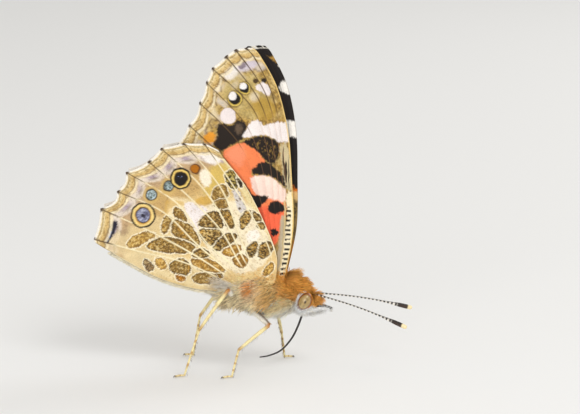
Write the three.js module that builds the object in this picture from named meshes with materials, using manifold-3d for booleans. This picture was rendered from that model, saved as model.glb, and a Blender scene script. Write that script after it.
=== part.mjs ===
// A life-size painted lady butterfly standing with its wings closed over its back.
// Millimetres, +Z up. The butterfly faces -Y, and its left side is +X.

import * as THREE from 'three';
import { mergeVertices } from 'three/addons/utils/BufferGeometryUtils.js';
import Module from 'manifold-3d';

const wasm = await Module();
wasm.setup();

// Body sizes
const bodyPitch = 18;
const thoraxCentre = { forward: 1.3, up: 10.9 };
const thoraxHalfLength = 4.4;
const thoraxHalfHeight = 3.1;
const thoraxHalfWidth = 2.65;
const headStation = 5.95;
const headHalfLength = 1.55;
const headHalfHeight = 1.75;
const headHalfWidth = 1.5;
const abdomenStart = -3.2;
const abdomenLength = 11.4;
const abdomenRadius = 1.5;
const abdomenRings = 7;
const eyeHalf = { left: 0.8, forward: 0.85, up: 1.2 };
const eyePlace = { forward: 7.0, up: 9.45, left: 1.4 };
const touchGap = 0.3;

// Wing sizes
const membraneHalf = 0.25;
const rimHalf = 0.2;
const veinRise = 0.1;
const veinFoot = 0.25;
const forewingLayer = 0.48;
const hindwingLayer = 1.45;
const layerSpread = 1.9;
const abdomenSpread = 1.05;
const spreadHeight = 2.5;
const wingRows = 11;
const forewingSwing = { right: 0, left: 2.8 };

// A point in the butterfly's own terms: forward is -Y and left is +X.
function at(forward, up, left = 0) {
	return new THREE.Vector3(left, -forward, up);
}

// A point by its station along the body, counted towards the head, and its rise above that line.
function onBody(station, rise, left = 0) {
	const pitch = THREE.MathUtils.degToRad(bodyPitch);
	const forward = thoraxCentre.forward + station * Math.cos(pitch) + rise * Math.sin(pitch);
	const up = thoraxCentre.up - station * Math.sin(pitch) + rise * Math.cos(pitch);
	return at(forward, up, left);
}

// The rise of a forward and up position above the body's line.
function riseAboveBody(forward, up) {
	const pitch = THREE.MathUtils.degToRad(bodyPitch);
	return (forward - thoraxCentre.forward) * Math.sin(pitch) + (up - thoraxCentre.up) * Math.cos(pitch);
}

// Turns every face of a closed geometry outward.
function facingOut(geometry) {
	const position = geometry.getAttribute('position');
	const index = geometry.getIndex().array;
	const corners = [new THREE.Vector3(), new THREE.Vector3(), new THREE.Vector3()];
	let volume = 0;
	for (let face = 0; face < index.length; face += 3) {
		corners.forEach((corner, k) => corner.fromBufferAttribute(position, index[face + k]));
		volume += corners[0].dot(corners[1].clone().cross(corners[2]));
	}
	if (volume < 0) {
		for (let face = 0; face < index.length; face += 3) {
			[index[face + 1], index[face + 2]] = [index[face + 2], index[face + 1]];
		}
	}
	return geometry;
}

// A geometry from its points and the corners of its faces.
function fromPoints(points, faces) {
	const geometry = new THREE.BufferGeometry().setFromPoints(points);
	geometry.setIndex(faces);
	return facingOut(geometry);
}

// A closed skin over rings of equal count, with a flat cap on each end.
function loft(rings) {
	const count = rings[0].length;
	const points = rings.flat();
	const faces = [];
	for (let ring = 0; ring < rings.length - 1; ring += 1) {
		for (let k = 0; k < count; k += 1) {
			const a = ring * count + k;
			const b = ring * count + (k + 1) % count;
			faces.push(a, b, b + count, a, b + count, a + count);
		}
	}
	for (const ring of [0, rings.length - 1]) {
		const centre = new THREE.Vector3();
		rings[ring].forEach((point) => centre.addScaledVector(point, 1 / count));
		const middle = points.push(centre) - 1;
		for (let k = 0; k < count; k += 1) {
			const a = ring * count + k;
			const b = ring * count + (k + 1) % count;
			faces.push(...(ring === 0 ? [middle, b, a] : [middle, a, b]));
		}
	}
	return fromPoints(points, faces);
}

// A ring of points round a centre, on two half axes.
function ringAt(centre, axisA, axisB, sides) {
	return Array.from({ length: sides }, (_, k) => {
		const angle = k * 2 * Math.PI / sides;
		return centre.clone().addScaledVector(axisA, Math.cos(angle)).addScaledVector(axisB, Math.sin(angle));
	});
}

// A tube through points given with their radius, round at both ends.
function taperedTube(stops, sides, steps) {
	const path = new THREE.CatmullRomCurve3(stops.map((stop) => stop.point), false, 'centripetal');
	const radii = new THREE.SplineCurve(stops.map((stop, k) => new THREE.Vector2(k, stop.radius)));
	const frames = path.computeFrenetFrames(steps);
	const rings = [];
	const addRing = (t, slide, shrink) => {
		const step = Math.round(t * steps);
		const radius = radii.getPoint(t).y;
		const centre = path.getPoint(t).addScaledVector(frames.tangents[step], slide * radius);
		const across = frames.normals[step].clone().multiplyScalar(radius * shrink);
		const over = frames.binormals[step].clone().multiplyScalar(radius * shrink);
		rings.push(ringAt(centre, across, over, sides));
	};
	addRing(0, -0.7, 0.55);
	for (let step = 0; step <= steps; step += 1) {
		addRing(step / steps, 0, 1);
	}
	addRing(1, 0.7, 0.55);
	return loft(rings);
}

// A stop of a tapered tube.
function stop(point, radius) {
	return { point, radius };
}

// Turns a geometry into a solid that can be cut and joined.
function toSolid(geometry) {
	const bare = geometry.clone();
	bare.deleteAttribute('normal');
	bare.deleteAttribute('uv');
	const merged = mergeVertices(bare, 1e-5);
	const vertProperties = new Float32Array(merged.getAttribute('position').array);
	const triVerts = new Uint32Array(merged.getIndex().array);
	return new wasm.Manifold(new wasm.Mesh({ numProp: 3, vertProperties, triVerts }));
}

// Turns the largest closed surface of a solid back into a geometry.
function toGeometry(solid) {
	const largest = solid.decompose().sort((a, b) => b.volume() - a.volume())[0];
	const { vertProperties, triVerts } = largest.getMesh();
	const geometry = new THREE.BufferGeometry();
	geometry.setAttribute('position', new THREE.BufferAttribute(new Float32Array(vertProperties), 3));
	geometry.setIndex(new THREE.BufferAttribute(new Uint32Array(triVerts), 1));
	return geometry;
}

// Joins geometries into one solid.
function joined(geometries) {
	return geometries.map(toSolid).reduce((whole, piece) => whole.add(piece));
}

// Cuts solids out of a solid.
function cutBy(solid, cutters) {
	return cutters.reduce((rest, cutter) => rest.subtract(cutter), solid);
}

// Thorax, head and abdomen, each grown by a margin on every side where a neighbour is cut clear of it.
function thoraxShape(margin) {
	const sides = 20;
	const stations = 12;
	const rings = [];
	for (let k = 0; k <= stations; k += 1) {
		const turn = -Math.cos(Math.PI * (k + 0.35) / (stations + 0.7));
		const round = Math.pow(1 - Math.abs(turn) ** 2.3, 0.5);
		const centre = onBody(turn * (thoraxHalfLength + margin), 0);
		const across = new THREE.Vector3(thoraxHalfWidth * round + margin, 0, 0);
		const rise = onBody(0, thoraxHalfHeight * round + margin).sub(onBody(0, 0));
		rings.push(ringAt(centre, across, rise, sides));
	}
	return loft(rings);
}

function headShape(margin) {
	const head = new THREE.SphereGeometry(1, 18, 12);
	head.scale(headHalfWidth + margin, headHalfLength + margin, headHalfHeight + margin);
	head.rotateX(THREE.MathUtils.degToRad(bodyPitch));
	const centre = onBody(headStation, 0.1);
	head.translate(centre.x, centre.y, centre.z);
	return head;
}

function eyeShape(side, margin) {
	const eye = new THREE.SphereGeometry(1, 14, 10);
	eye.scale(eyeHalf.left + margin, eyeHalf.forward + margin, eyeHalf.up + margin);
	eye.rotateX(THREE.MathUtils.degToRad(-bodyPitch));
	const centre = at(eyePlace.forward, eyePlace.up, side * eyePlace.left);
	eye.translate(centre.x, centre.y, centre.z);
	return eye;
}

// The abdomen swells behind its waist, and each of its rings bulges a little before the next.
function abdomenShape(margin) {
	const stepsPerRing = 2;
	const rings = [];
	const count = abdomenRings * stepsPerRing;
	for (let k = 0; k <= count; k += 1) {
		const t = k / count;
		const swell = Math.pow(Math.sin(Math.PI * (0.2 + 0.72 * t)), 0.55);
		const bulge = 1 + 0.04 * Math.sin(Math.PI * ((k % stepsPerRing) / stepsPerRing));
		const radius = abdomenRadius * swell * bulge + margin;
		const centre = onBody(abdomenStart - abdomenLength * t, 0.2 + 0.5 * t * t);
		const rise = onBody(0, radius * 1.08).sub(onBody(0, 0));
		rings.push(ringAt(centre, new THREE.Vector3(radius, 0, 0), rise, 14));
	}
	return loft(rings);
}

// Wing veins from the front edge to the inner edge. Each runs from the root through its bends to its end
// on the margin, and the margin is notched by a depth before the next vein. Places are [forward, up].
const forewing = {
	root: [[4.1, 12.0], [2.6, 11.8]],
	veins: [
		{ bends: [[5.3, 19.0], [5.1, 26.0], [4.6, 32.2], [3.2, 37.9], [1.0, 42.0]], end: [0.0, 43.1], notch: 0 },
		{ bends: [[4.4, 20.5], [3.9, 30.2], [2.6, 36.8], [0.4, 41.5]], end: [-0.9, 43.1], notch: 0.04 },
		{ bends: [[4.1, 20.5], [3.4, 30.0], [1.6, 37.2]], end: [-2.3, 42.9], notch: 0.05 },
		{ bends: [[3.6, 20.5], [2.8, 29.2], [0.8, 36.2]], end: [-3.6, 42.0], notch: 0.1 },
		{ bends: [[2.9, 20.5], [2.1, 28.4], [0.0, 35.0]], end: [-5.4, 40.4], notch: 0.12 },
		{ bends: [[2.2, 20.5], [1.1, 27.6], [-1.0, 33.0]], end: [-6.2, 38.5], notch: 0.25 },
		{ bends: [[1.6, 20.0], [0.1, 26.0], [-2.2, 30.9]], end: [-7.1, 35.8], notch: 0.4 },
		{ bends: [[1.1, 18.8], [-0.8, 24.8], [-3.5, 28.1]], end: [-8.5, 32.8], notch: 0.15 },
		{ bends: [[-0.1, 18.1], [-2.9, 23.3], [-6.4, 26.9]], end: [-10.1, 30.1], notch: 0.05 },
		{ bends: [[-0.8, 17.8], [-4.0, 22.4], [-7.2, 26.0]], end: [-9.9, 29.2], notch: 0 },
	],
};
const hindwing = {
	root: [[3.1, 12.2], [-2.4, 10.9]],
	veins: [
		{ bends: [[3.2, 15.5], [1.7, 19.7], [-0.8, 24.7], [-3.5, 28.2]], end: [-4.5, 29.6], notch: 0 },
		{ bends: [[2.3, 16.2], [0.0, 20.8], [-3.0, 25.6]], end: [-6.4, 30.5], notch: 0.12 },
		{ bends: [[-0.4, 15.3], [-2.0, 19.0], [-4.2, 24.6]], end: [-9.1, 30.5], notch: 0.1 },
		{ bends: [[-1.2, 15.3], [-3.3, 19.5], [-6.8, 24.8]], end: [-12.1, 29.8], notch: 0.14 },
		{ bends: [[-1.8, 14.9], [-4.3, 19.0], [-8.4, 23.3]], end: [-13.8, 28.0], notch: 0.3 },
		{ bends: [[-2.6, 14.3], [-6.2, 17.4], [-10.2, 22.6]], end: [-16.8, 26.5], notch: 0.45 },
		{ bends: [[-3.5, 13.9], [-7.4, 17.1], [-12.0, 21.3]], end: [-18.0, 23.9], notch: 0.75 },
		{ bends: [[-4.0, 13.4], [-8.4, 16.1], [-13.8, 18.8]], end: [-20.2, 21.6], notch: 0.2 },
		{ bends: [[-4.7, 12.8], [-9.4, 14.8], [-15.0, 16.1]], end: [-21.0, 17.6], notch: -0.1 },
		{ bends: [[-7.2, 11.1], [-12.1, 12.4], [-16.5, 14.6]], end: [-20.8, 17.1], notch: 0 },
	],
};

// How far a wing stands out from the middle plane. Both layers lean out over the thorax, and the
// hindwing keeps closer to the abdomen behind it.
function layerOffset(layer, forward, up) {
	const lean = 1 / (1 + Math.exp(riseAboveBody(forward, up) - spreadHeight));
	const behind = THREE.MathUtils.smoothstep(-forward, 0, 4);
	const spread = layer === hindwingLayer
		? THREE.MathUtils.lerp(layerSpread, abdomenSpread, behind)
		: layerSpread;
	return layer + spread * lean;
}

// The grid of a wing: one column on each vein, one at each foot of the vein and one between veins, and
// rows from the root to the margin. Each place tells how much the vein lifts it.
function wingGrid(wing) {
	const last = wing.veins.length - 1;
	const curves = wing.veins.map(({ bends, end }, k) => {
		const share = k / last;
		const root = wing.root[0].map((value, axis) => THREE.MathUtils.lerp(value, wing.root[1][axis], share));
		return new THREE.SplineCurve([root, ...bends, end].map(([forward, up]) => new THREE.Vector2(forward, up)));
	});
	const grid = [];
	for (let row = 0; row <= wingRows; row += 1) {
		const along = Math.pow(row / wingRows, 0.9);
		const onVeins = curves.map((curve) => curve.getPointAt(along));
		const places = [];
		onVeins.forEach((place, k) => {
			places.push({ place, lift: k > 0 && k < last ? 1 : 0.4 });
			if (k === last) {
				return;
			}
			const next = onVeins[k + 1];
			const foot = Math.min(0.25, veinFoot / place.distanceTo(next));
			for (const share of [foot, 0.5, 1 - foot]) {
				const between = place.clone().lerp(next, share);
				if (row === wingRows) {
					const inward = curves[k].getPointAt(0.96).lerp(curves[k + 1].getPointAt(0.96), share).sub(between);
					const depth = wing.veins[k].notch * Math.sin(Math.PI * share);
					between.addScaledVector(inward.normalize(), depth);
				}
				places.push({ place: between, lift: 0 });
			}
		});
		grid.push(places);
	}
	return grid;
}

// A wing as one closed sheet, both faces on the same grid and split the same way, its veins raised
// on both faces. A swing turns it forward about its root.
function wingShape(wing, layer, side, swing) {
	const grid = wingGrid(wing);
	const rows = grid.length;
	const columns = grid[0].length;
	const pivot = new THREE.Vector2(...wing.root[0]);
	const turn = THREE.MathUtils.degToRad(-swing);
	const points = [];
	for (const face of [1, -1]) {
		grid.forEach((places, row) => places.forEach(({ place, lift }, column) => {
			const spot = place.clone().rotateAround(pivot, turn);
			const offset = layerOffset(layer, spot.x, spot.y);
			const slope = (layerOffset(layer, spot.x, spot.y + 0.1) - offset) / 0.1;
			const atRim = row === rows - 1 || column === 0 || column === columns - 1;
			const half = (atRim ? rimHalf : membraneHalf) + veinRise * lift;
			points.push(at(spot.x, spot.y, side * (offset + face * half * Math.hypot(1, slope))));
		}));
	}
	const corner = (face, row, column) => (face * rows + row) * columns + column;
	const faces = [];
	for (let row = 0; row < rows - 1; row += 1) {
		for (let column = 0; column < columns - 1; column += 1) {
			const square = (face) => [
				corner(face, row, column), corner(face, row, column + 1),
				corner(face, row + 1, column + 1), corner(face, row + 1, column),
			];
			const [a, b, c, d] = square(0);
			const [e, f, g, h] = square(1);
			faces.push(a, b, c, a, c, d, e, g, f, e, h, g);
		}
	}
	const border = [];
	for (let column = 0; column < columns - 1; column += 1) {
		border.push([0, column]);
	}
	for (let row = 0; row < rows - 1; row += 1) {
		border.push([row, columns - 1]);
	}
	for (let column = columns - 1; column > 0; column -= 1) {
		border.push([rows - 1, column]);
	}
	for (let row = rows - 1; row > 0; row -= 1) {
		border.push([row, 0]);
	}
	border.forEach(([row, column], k) => {
		const [nextRow, nextColumn] = border[(k + 1) % border.length];
		const a = corner(0, row, column);
		const b = corner(0, nextRow, nextColumn);
		const c = corner(1, nextRow, nextColumn);
		const d = corner(1, row, column);
		faces.push(a, c, b, a, d, c);
	});
	return fromPoints(points, faces);
}

// Legs, by their joints from hip to toe. Each place is [forward, up, out from the middle].
const hipRadius = 0.5;
const kneeRadius = 0.36;
const ankleRadius = 0.28;
const toeRadius = 0.26;
const toeHeight = 0.2;
const legs = {
	midleg_right: { hip: [-0.6, 8.8, 1.5], knee: [2.4, 6.7, 3.6], ankle: [-1.5, 3.6, 5.0], heel: [-2.3, 6.0], toe: -3.5 },
	midleg_left: { hip: [-0.6, 8.8, 1.5], knee: [2.6, 7.6, 3.8], ankle: [3.2, 3.7, 5.3], heel: [3.5, 6.1], toe: 4.6 },
	hindleg_right: { hip: [-1.9, 9.2, 1.5], knee: [-3.0, 11.4, 4.0], ankle: [-6.7, 6.2, 5.1], heel: [-8.6, 6.0], toe: -9.8 },
	hindleg_left: { hip: [-1.9, 9.2, 1.5], knee: [-4.4, 10.6, 4.0], ankle: [-7.8, 5.9, 5.0], heel: [-8.9, 5.9], toe: -10.1 },
};

// A leg whose last joint lies flat on the floor.
function legShape(side, { hip, knee, ankle, heel, toe }) {
	const place = ([forward, up, out]) => at(forward, up, side * out);
	const heelPoint = at(heel[0], toeHeight, side * heel[1]);
	const toePoint = at(toe, toeHeight, side * (heel[1] + 0.4));
	const femur = taperedTube([stop(place(hip), hipRadius), stop(place(knee), kneeRadius)], 8, 2);
	const tibia = taperedTube([stop(place(knee), kneeRadius), stop(place(ankle), ankleRadius)], 8, 2);
	const tarsus = taperedTube([stop(place(ankle), ankleRadius), stop(heelPoint, toeRadius)], 8, 2);
	const foot = taperedTube([stop(heelPoint, toeRadius), stop(toePoint, toeRadius)], 8, 2);
	return joined([femur, tibia, tarsus, foot]);
}

// The slab under the feet, which cuts their flats.
function floorSlab() {
	const slab = new THREE.BoxGeometry(60, 60, 4);
	slab.translate(0, 0, -2);
	return toSolid(slab);
}

// The short brush leg is folded along the side of the thorax.
function foldedLegShape(side) {
	return taperedTube([
		stop(at(5.5, 9.4, side * 2.0), 0.42),
		stop(at(3.9, 9.0, side * 2.75), 0.45),
		stop(at(2.0, 8.1, side * 2.75), 0.3),
	], 8, 5);
}

// Feelers end in a flattened club.
const antennaRoot = { forward: 8.3, up: 10.35, left: 0.55 };
const antennaTip = { forward: 20.7, up: 7.3, left: 6.1 };
const antennaRadius = 0.25;
const clubRadius = 0.45;

function antennaShape(side) {
	const root = at(antennaRoot.forward, antennaRoot.up, side * antennaRoot.left);
	const tip = at(antennaTip.forward, antennaTip.up, side * antennaTip.left);
	const shares = [0, 0.3, 0.6, 0.83, 0.93, 1];
	const radii = [antennaRadius, antennaRadius, antennaRadius, 0.3, clubRadius, 0.34];
	const stops = shares.map((share, k) => {
		const point = root.clone().lerp(tip, share);
		point.z += 0.35 * Math.sin(Math.PI * share);
		return stop(point, radii[k]);
	});
	return taperedTube(stops, 8, 14);
}

function palpShape(side) {
	return taperedTube([
		stop(at(7.9, 8.0, side * 0.62), 0.4),
		stop(at(9.1, 7.9, side * 0.55), 0.45),
		stop(at(10.1, 8.5, side * 0.45), 0.25),
	], 8, 5);
}

function proboscisShape() {
	return taperedTube([
		stop(at(6.3, 7.9), 0.25),
		stop(at(5.8, 5.8), 0.25),
		stop(at(5.0, 4.1), 0.25),
		stop(at(3.6, 2.4), 0.25),
		stop(at(2.0, 1.7), 0.25),
		stop(at(0.6, 1.4), 0.25),
	], 8, 14);
}

// Colours
const furBrown = new THREE.MeshStandardMaterial({ color: 0x8a6a48, roughness: 0.9, metalness: 0 });
const abdomenBuff = new THREE.MeshStandardMaterial({ color: 0xb59a78, roughness: 0.85, metalness: 0 });
const eyeOlive = new THREE.MeshStandardMaterial({ color: 0x8d7a4c, roughness: 0.3, metalness: 0 });
const feelerDark = new THREE.MeshStandardMaterial({ color: 0x2b241e, roughness: 0.6, metalness: 0 });
const palpWhite = new THREE.MeshStandardMaterial({ color: 0xe6ddcb, roughness: 0.9, metalness: 0 });
const legCream = new THREE.MeshStandardMaterial({ color: 0xcdb78c, roughness: 0.7, metalness: 0 });
const forewingCoral = new THREE.MeshStandardMaterial({ color: 0xc9705a, roughness: 0.8, metalness: 0 });
const hindwingBuff = new THREE.MeshStandardMaterial({ color: 0xb49a76, roughness: 0.8, metalness: 0 });

const butterfly = new THREE.Group();

function addNode(name, solid, material) {
	const mesh = new THREE.Mesh(toGeometry(solid), material.clone());
	mesh.name = name;
	butterfly.add(mesh);
}

// The thorax is whole, and every neighbour is cut clear of it.
const aroundThorax = toSolid(thoraxShape(touchGap));
const aroundHead = toSolid(headShape(touchGap));
const floor = floorSlab();
const sides = { left: 1, right: -1 };

addNode('thorax', toSolid(thoraxShape(0)), furBrown);
const sockets = Object.values(sides).map((side) => toSolid(eyeShape(side, touchGap)));
addNode('head', cutBy(toSolid(headShape(0)), [aroundThorax, ...sockets]), furBrown);
addNode('abdomen', cutBy(toSolid(abdomenShape(0)), [aroundThorax]), abdomenBuff);
addNode('proboscis', cutBy(toSolid(proboscisShape()), [aroundHead, aroundThorax]), feelerDark);

for (const [name, side] of Object.entries(sides)) {
	addNode(`eye_${name}`, toSolid(eyeShape(side, 0)), eyeOlive);
	addNode(`antenna_${name}`, cutBy(toSolid(antennaShape(side)), [aroundHead]), feelerDark);
	addNode(`palp_${name}`, cutBy(toSolid(palpShape(side)), [aroundHead]), palpWhite);
	addNode(`foreleg_${name}`, cutBy(toSolid(foldedLegShape(side)), [aroundThorax, aroundHead]), legCream);
	for (const pair of ['midleg', 'hindleg']) {
		const leg = legShape(side, legs[`${pair}_${name}`]);
		addNode(`${pair}_${name}`, cutBy(leg, [aroundThorax, floor]), legCream);
	}
	const front = toSolid(wingShape(forewing, forewingLayer, side, forewingSwing[name]));
	addNode(`forewing_${name}`, cutBy(front, [aroundThorax]), forewingCoral);
	const rear = toSolid(wingShape(hindwing, hindwingLayer, side, 0));
	addNode(`hindwing_${name}`, cutBy(rear, [aroundThorax]), hindwingBuff);
}

// The origin is the middle of the whole, on the floor.
const whole = new THREE.Box3().setFromObject(butterfly);
const middle = whole.getCenter(new THREE.Vector3());
butterfly.position.set(-middle.x, -middle.y, -whole.min.z);

export default butterfly;
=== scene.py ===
import math

import bmesh
import bpy
import numpy as np
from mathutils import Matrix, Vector, noise


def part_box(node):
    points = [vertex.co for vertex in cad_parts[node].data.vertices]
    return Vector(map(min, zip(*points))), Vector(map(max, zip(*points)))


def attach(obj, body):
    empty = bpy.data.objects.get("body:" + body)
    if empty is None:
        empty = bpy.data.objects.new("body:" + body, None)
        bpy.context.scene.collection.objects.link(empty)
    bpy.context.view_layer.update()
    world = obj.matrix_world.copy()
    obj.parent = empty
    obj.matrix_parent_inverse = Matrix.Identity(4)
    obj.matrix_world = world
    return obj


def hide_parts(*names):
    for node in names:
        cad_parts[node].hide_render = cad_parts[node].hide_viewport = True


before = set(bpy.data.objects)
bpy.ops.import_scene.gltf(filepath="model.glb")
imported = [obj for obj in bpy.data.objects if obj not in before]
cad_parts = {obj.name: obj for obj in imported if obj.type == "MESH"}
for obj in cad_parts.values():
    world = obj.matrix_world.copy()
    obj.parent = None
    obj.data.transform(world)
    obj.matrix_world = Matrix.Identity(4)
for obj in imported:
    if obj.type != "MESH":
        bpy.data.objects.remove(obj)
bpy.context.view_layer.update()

mm = 0.001
body = {
    "pitch": 18,  # degrees, head down
    "forward": 1.3, "up": 10.9,  # the thorax's middle
}
view = {
    "turn": 5.3, "rise": 10.6,  # degrees, from the side towards the front, and above the floor
    "pixelsPerMm": 7.5, "floorX": 254.0, "floorY": 368.0,  # the photo's pixel over the origin
    "width": 580, "height": 414, "lens": 200,
}
solidEye = {"left": 1.4, "forward": 7.0, "up": 9.45}  # the middle of the left eye's solid, in the measures here


# The origin of the solids is the middle of their box, so the measures are set against the left eye.
def originShift():
    low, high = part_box("eye_left")
    middle = (low + high) / 2
    measured = [solidEye[key] * mm for key in ("left", "forward", "up")]
    return Vector((middle.x - measured[0], middle.y + measured[1], middle.z - measured[2]))


shift = originShift()
pitch = math.radians(body["pitch"])


def at(forward, up, left=0.0):  # millimetres to a place in the scene
    return Vector((left * mm, -forward * mm, up * mm)) + shift


def bodyPlace(station, rise, left=0.0):  # along the body towards the head, and above its line
    forward = body["forward"] + station * math.cos(pitch) + rise * math.sin(pitch)
    up = body["up"] - station * math.sin(pitch) + rise * math.cos(pitch)
    return at(forward, up, left)


def tone(code):  # a hex colour as linear values
    parts = [int(code[k:k + 2], 16) / 255 for k in (0, 2, 4)]
    return np.array([c / 12.92 if c < 0.04045 else ((c + 0.055) / 1.055) ** 2.4 for c in parts])


def smooth(low, high, value):
    t = np.clip((np.asarray(value, float) - low) / (high - low), 0, 1)
    return t * t * (3 - 2 * t)


def fade(low, high, value):
    return 1 - smooth(low, high, value)


def grain(points, scale, seed=0.0):  # smooth noise at each point, about -1 to 1
    offset = Vector((seed, seed * 0.7, seed * 1.3))
    return np.array([noise.noise(Vector(p) * scale + offset) for p in points])


def mixTone(colours, code, share):
    return colours + (tone(code) - colours) * np.asarray(share)[:, None]


def tiled(code, count):  # one tone for each of many points
    return np.tile(tone(code), (count, 1))


def between(value, low, high, soft=0.12, softFar=None):  # 1 between two limits, with soft ends
    far = soft if softFar is None else softFar
    return smooth(low - soft, low + soft, value) * fade(high - far, high + far, value)


class Socket:  # shader values that add Math nodes when they are combined
    def __init__(self, tree, link):
        self.tree, self.link = tree, link

    def combine(self, operation, other, swapped=False):
        node = self.tree.nodes.new("ShaderNodeMath")
        node.operation = operation
        for place, value in zip((1, 0) if swapped else (0, 1), (self, other)):
            if isinstance(value, Socket):
                self.tree.links.new(value.link, node.inputs[place])
            else:
                node.inputs[place].default_value = value
        return Socket(self.tree, node.outputs[0])

    def __add__(self, other): return self.combine("ADD", other)
    def __radd__(self, other): return self.combine("ADD", other)
    def __sub__(self, other): return self.combine("SUBTRACT", other)
    def __rsub__(self, other): return self.combine("SUBTRACT", other, True)
    def __mul__(self, other): return self.combine("MULTIPLY", other)
    def __rmul__(self, other): return self.combine("MULTIPLY", other)


class Finish:  # one material and its node tree
    def __init__(self, name):
        self.material = bpy.data.materials.new(name)
        self.material.use_nodes = True
        self.tree = self.material.node_tree
        self.shader = self.tree.nodes["Principled BSDF"]

    def node(self, kind, settings=None, inputs=None, output=0):
        made = self.tree.nodes.new(kind)
        for key, value in (settings or {}).items():
            setattr(made, key, value)
        for key, value in (inputs or {}).items():
            if isinstance(value, Socket):
                self.tree.links.new(value.link, made.inputs[key])
            else:
                made.inputs[key].default_value = value
        return Socket(self.tree, made.outputs[output])

    def feed(self, name, value):
        if isinstance(value, Socket):
            self.tree.links.new(value.link, self.shader.inputs[name])
        else:
            self.shader.inputs[name].default_value = value


# A finish reads the colour painted on the piece and breaks it up at two sizes, as scales and hairs do.
def paintedFinish(name, look):
    finish = Finish(name)
    paint = finish.node("ShaderNodeAttribute", {"attribute_name": "paint"})
    place = finish.node("ShaderNodeTexCoord", output="Object")
    fine = finish.node("ShaderNodeTexNoise", {}, {"Vector": place, "Scale": look["fine"], "Detail": 3.0})
    broad = finish.node("ShaderNodeTexNoise", {}, {"Vector": place, "Scale": look["broad"], "Detail": 2.0})
    cells = finish.node("ShaderNodeTexVoronoi", {}, {"Vector": place, "Scale": look["cells"]})
    shade = 1.0 + (fine - 0.5) * look["fineShade"] + (broad - 0.5) * look["broadShade"]
    shade = shade - cells * look["cellShade"]
    colour = finish.node("ShaderNodeVectorMath", {"operation": "SCALE"}, {"Vector": paint, "Scale": shade})
    finish.feed("Base Color", colour)
    finish.feed("Roughness", look["roughness"] + (fine - 0.5) * look["roughShade"])
    height = fine * 0.5 + cells * 0.8
    bump = finish.node(
        "ShaderNodeBump", {}, {"Height": height, "Strength": look["bump"], "Distance": look["depth"]})
    finish.feed("Normal", bump)
    finish.feed("Sheen Weight", look.get("sheen", 0.0))
    finish.feed("Specular IOR Level", look.get("specular", 0.3))
    finish.feed("Coat Weight", look.get("coat", 0.0))
    return finish.material


scaleLook = {
    "fine": 9000.0, "broad": 700.0, "cells": 8000.0, "fineShade": 0.5, "broadShade": 0.25, "cellShade": 0.18,
    "roughness": 0.78, "roughShade": 0.2, "bump": 0.35, "depth": 0.00004, "sheen": 0.15, "specular": 0.25,
}
furLook = {
    "fine": 5000.0, "broad": 900.0, "cells": 4000.0, "fineShade": 0.4, "broadShade": 0.3, "cellShade": 0.1,
    "roughness": 0.75, "roughShade": 0.2, "bump": 0.3, "depth": 0.00003, "sheen": 0.0, "specular": 0.12,
}
hornLook = {
    "fine": 6000.0, "broad": 1200.0, "cells": 5000.0, "fineShade": 0.25, "broadShade": 0.2, "cellShade": 0.15,
    "roughness": 0.45, "roughShade": 0.2, "bump": 0.25, "depth": 0.00002, "specular": 0.5,
}
eyeLook = {
    "fine": 3000.0, "broad": 900.0, "cells": 14000.0, "fineShade": 0.1, "broadShade": 0.1, "cellShade": 0.25,
    "roughness": 0.2, "roughShade": 0.05, "bump": 0.12, "depth": 0.00001, "specular": 0.5, "coat": 0.5,
}
scaleFinish = paintedFinish("powderyScales", scaleLook)
furFinish = paintedFinish("softFur", furLook)
hornFinish = paintedFinish("satinHorn", hornLook)
eyeFinish = paintedFinish("glossyEye", eyeLook)
print("finishes made")


# Gives a mesh its object, colours, finish and place in the model.
def finishPiece(name, mesh, colours, finish, nodes):
    paint = mesh.attributes.new("paint", "FLOAT_COLOR", "POINT")
    values = np.ones((len(mesh.vertices), 4), np.float32)
    values[:, :3] = np.clip(colours, 0, 1)
    paint.data.foreach_set("color", values.ravel())
    mesh.materials.append(finish)
    mesh.shade_smooth()
    piece = bpy.data.objects.new(name, mesh)
    bpy.context.scene.collection.objects.link(piece)
    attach(piece, "root")
    if nodes:
        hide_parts(*nodes)


def splinePoints(stops, count):  # evenly spaced points on a smooth line through the stops
    stops = np.array(stops, float)
    padded = np.vstack([stops[:1], stops, stops[-1:]])
    t = np.linspace(0, len(stops) - 1, 400)
    k = np.minimum(t.astype(int), len(stops) - 2)
    w = (t - k)[:, None]
    a, b, c, d = (padded[k + j] for j in range(4))
    line = 0.5 * (2 * b + (c - a) * w + (2 * a - 5 * b + 4 * c - d) * w ** 2 + (3 * b - a - 3 * c + d) * w ** 3)
    run = np.concatenate([[0], np.cumsum(np.linalg.norm(np.diff(line, axis=0), axis=1))])
    even = np.linspace(0, run[-1], count)
    return np.stack([np.interp(even, run, line[:, axis]) for axis in range(line.shape[1])], axis=1), run[-1]


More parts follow.
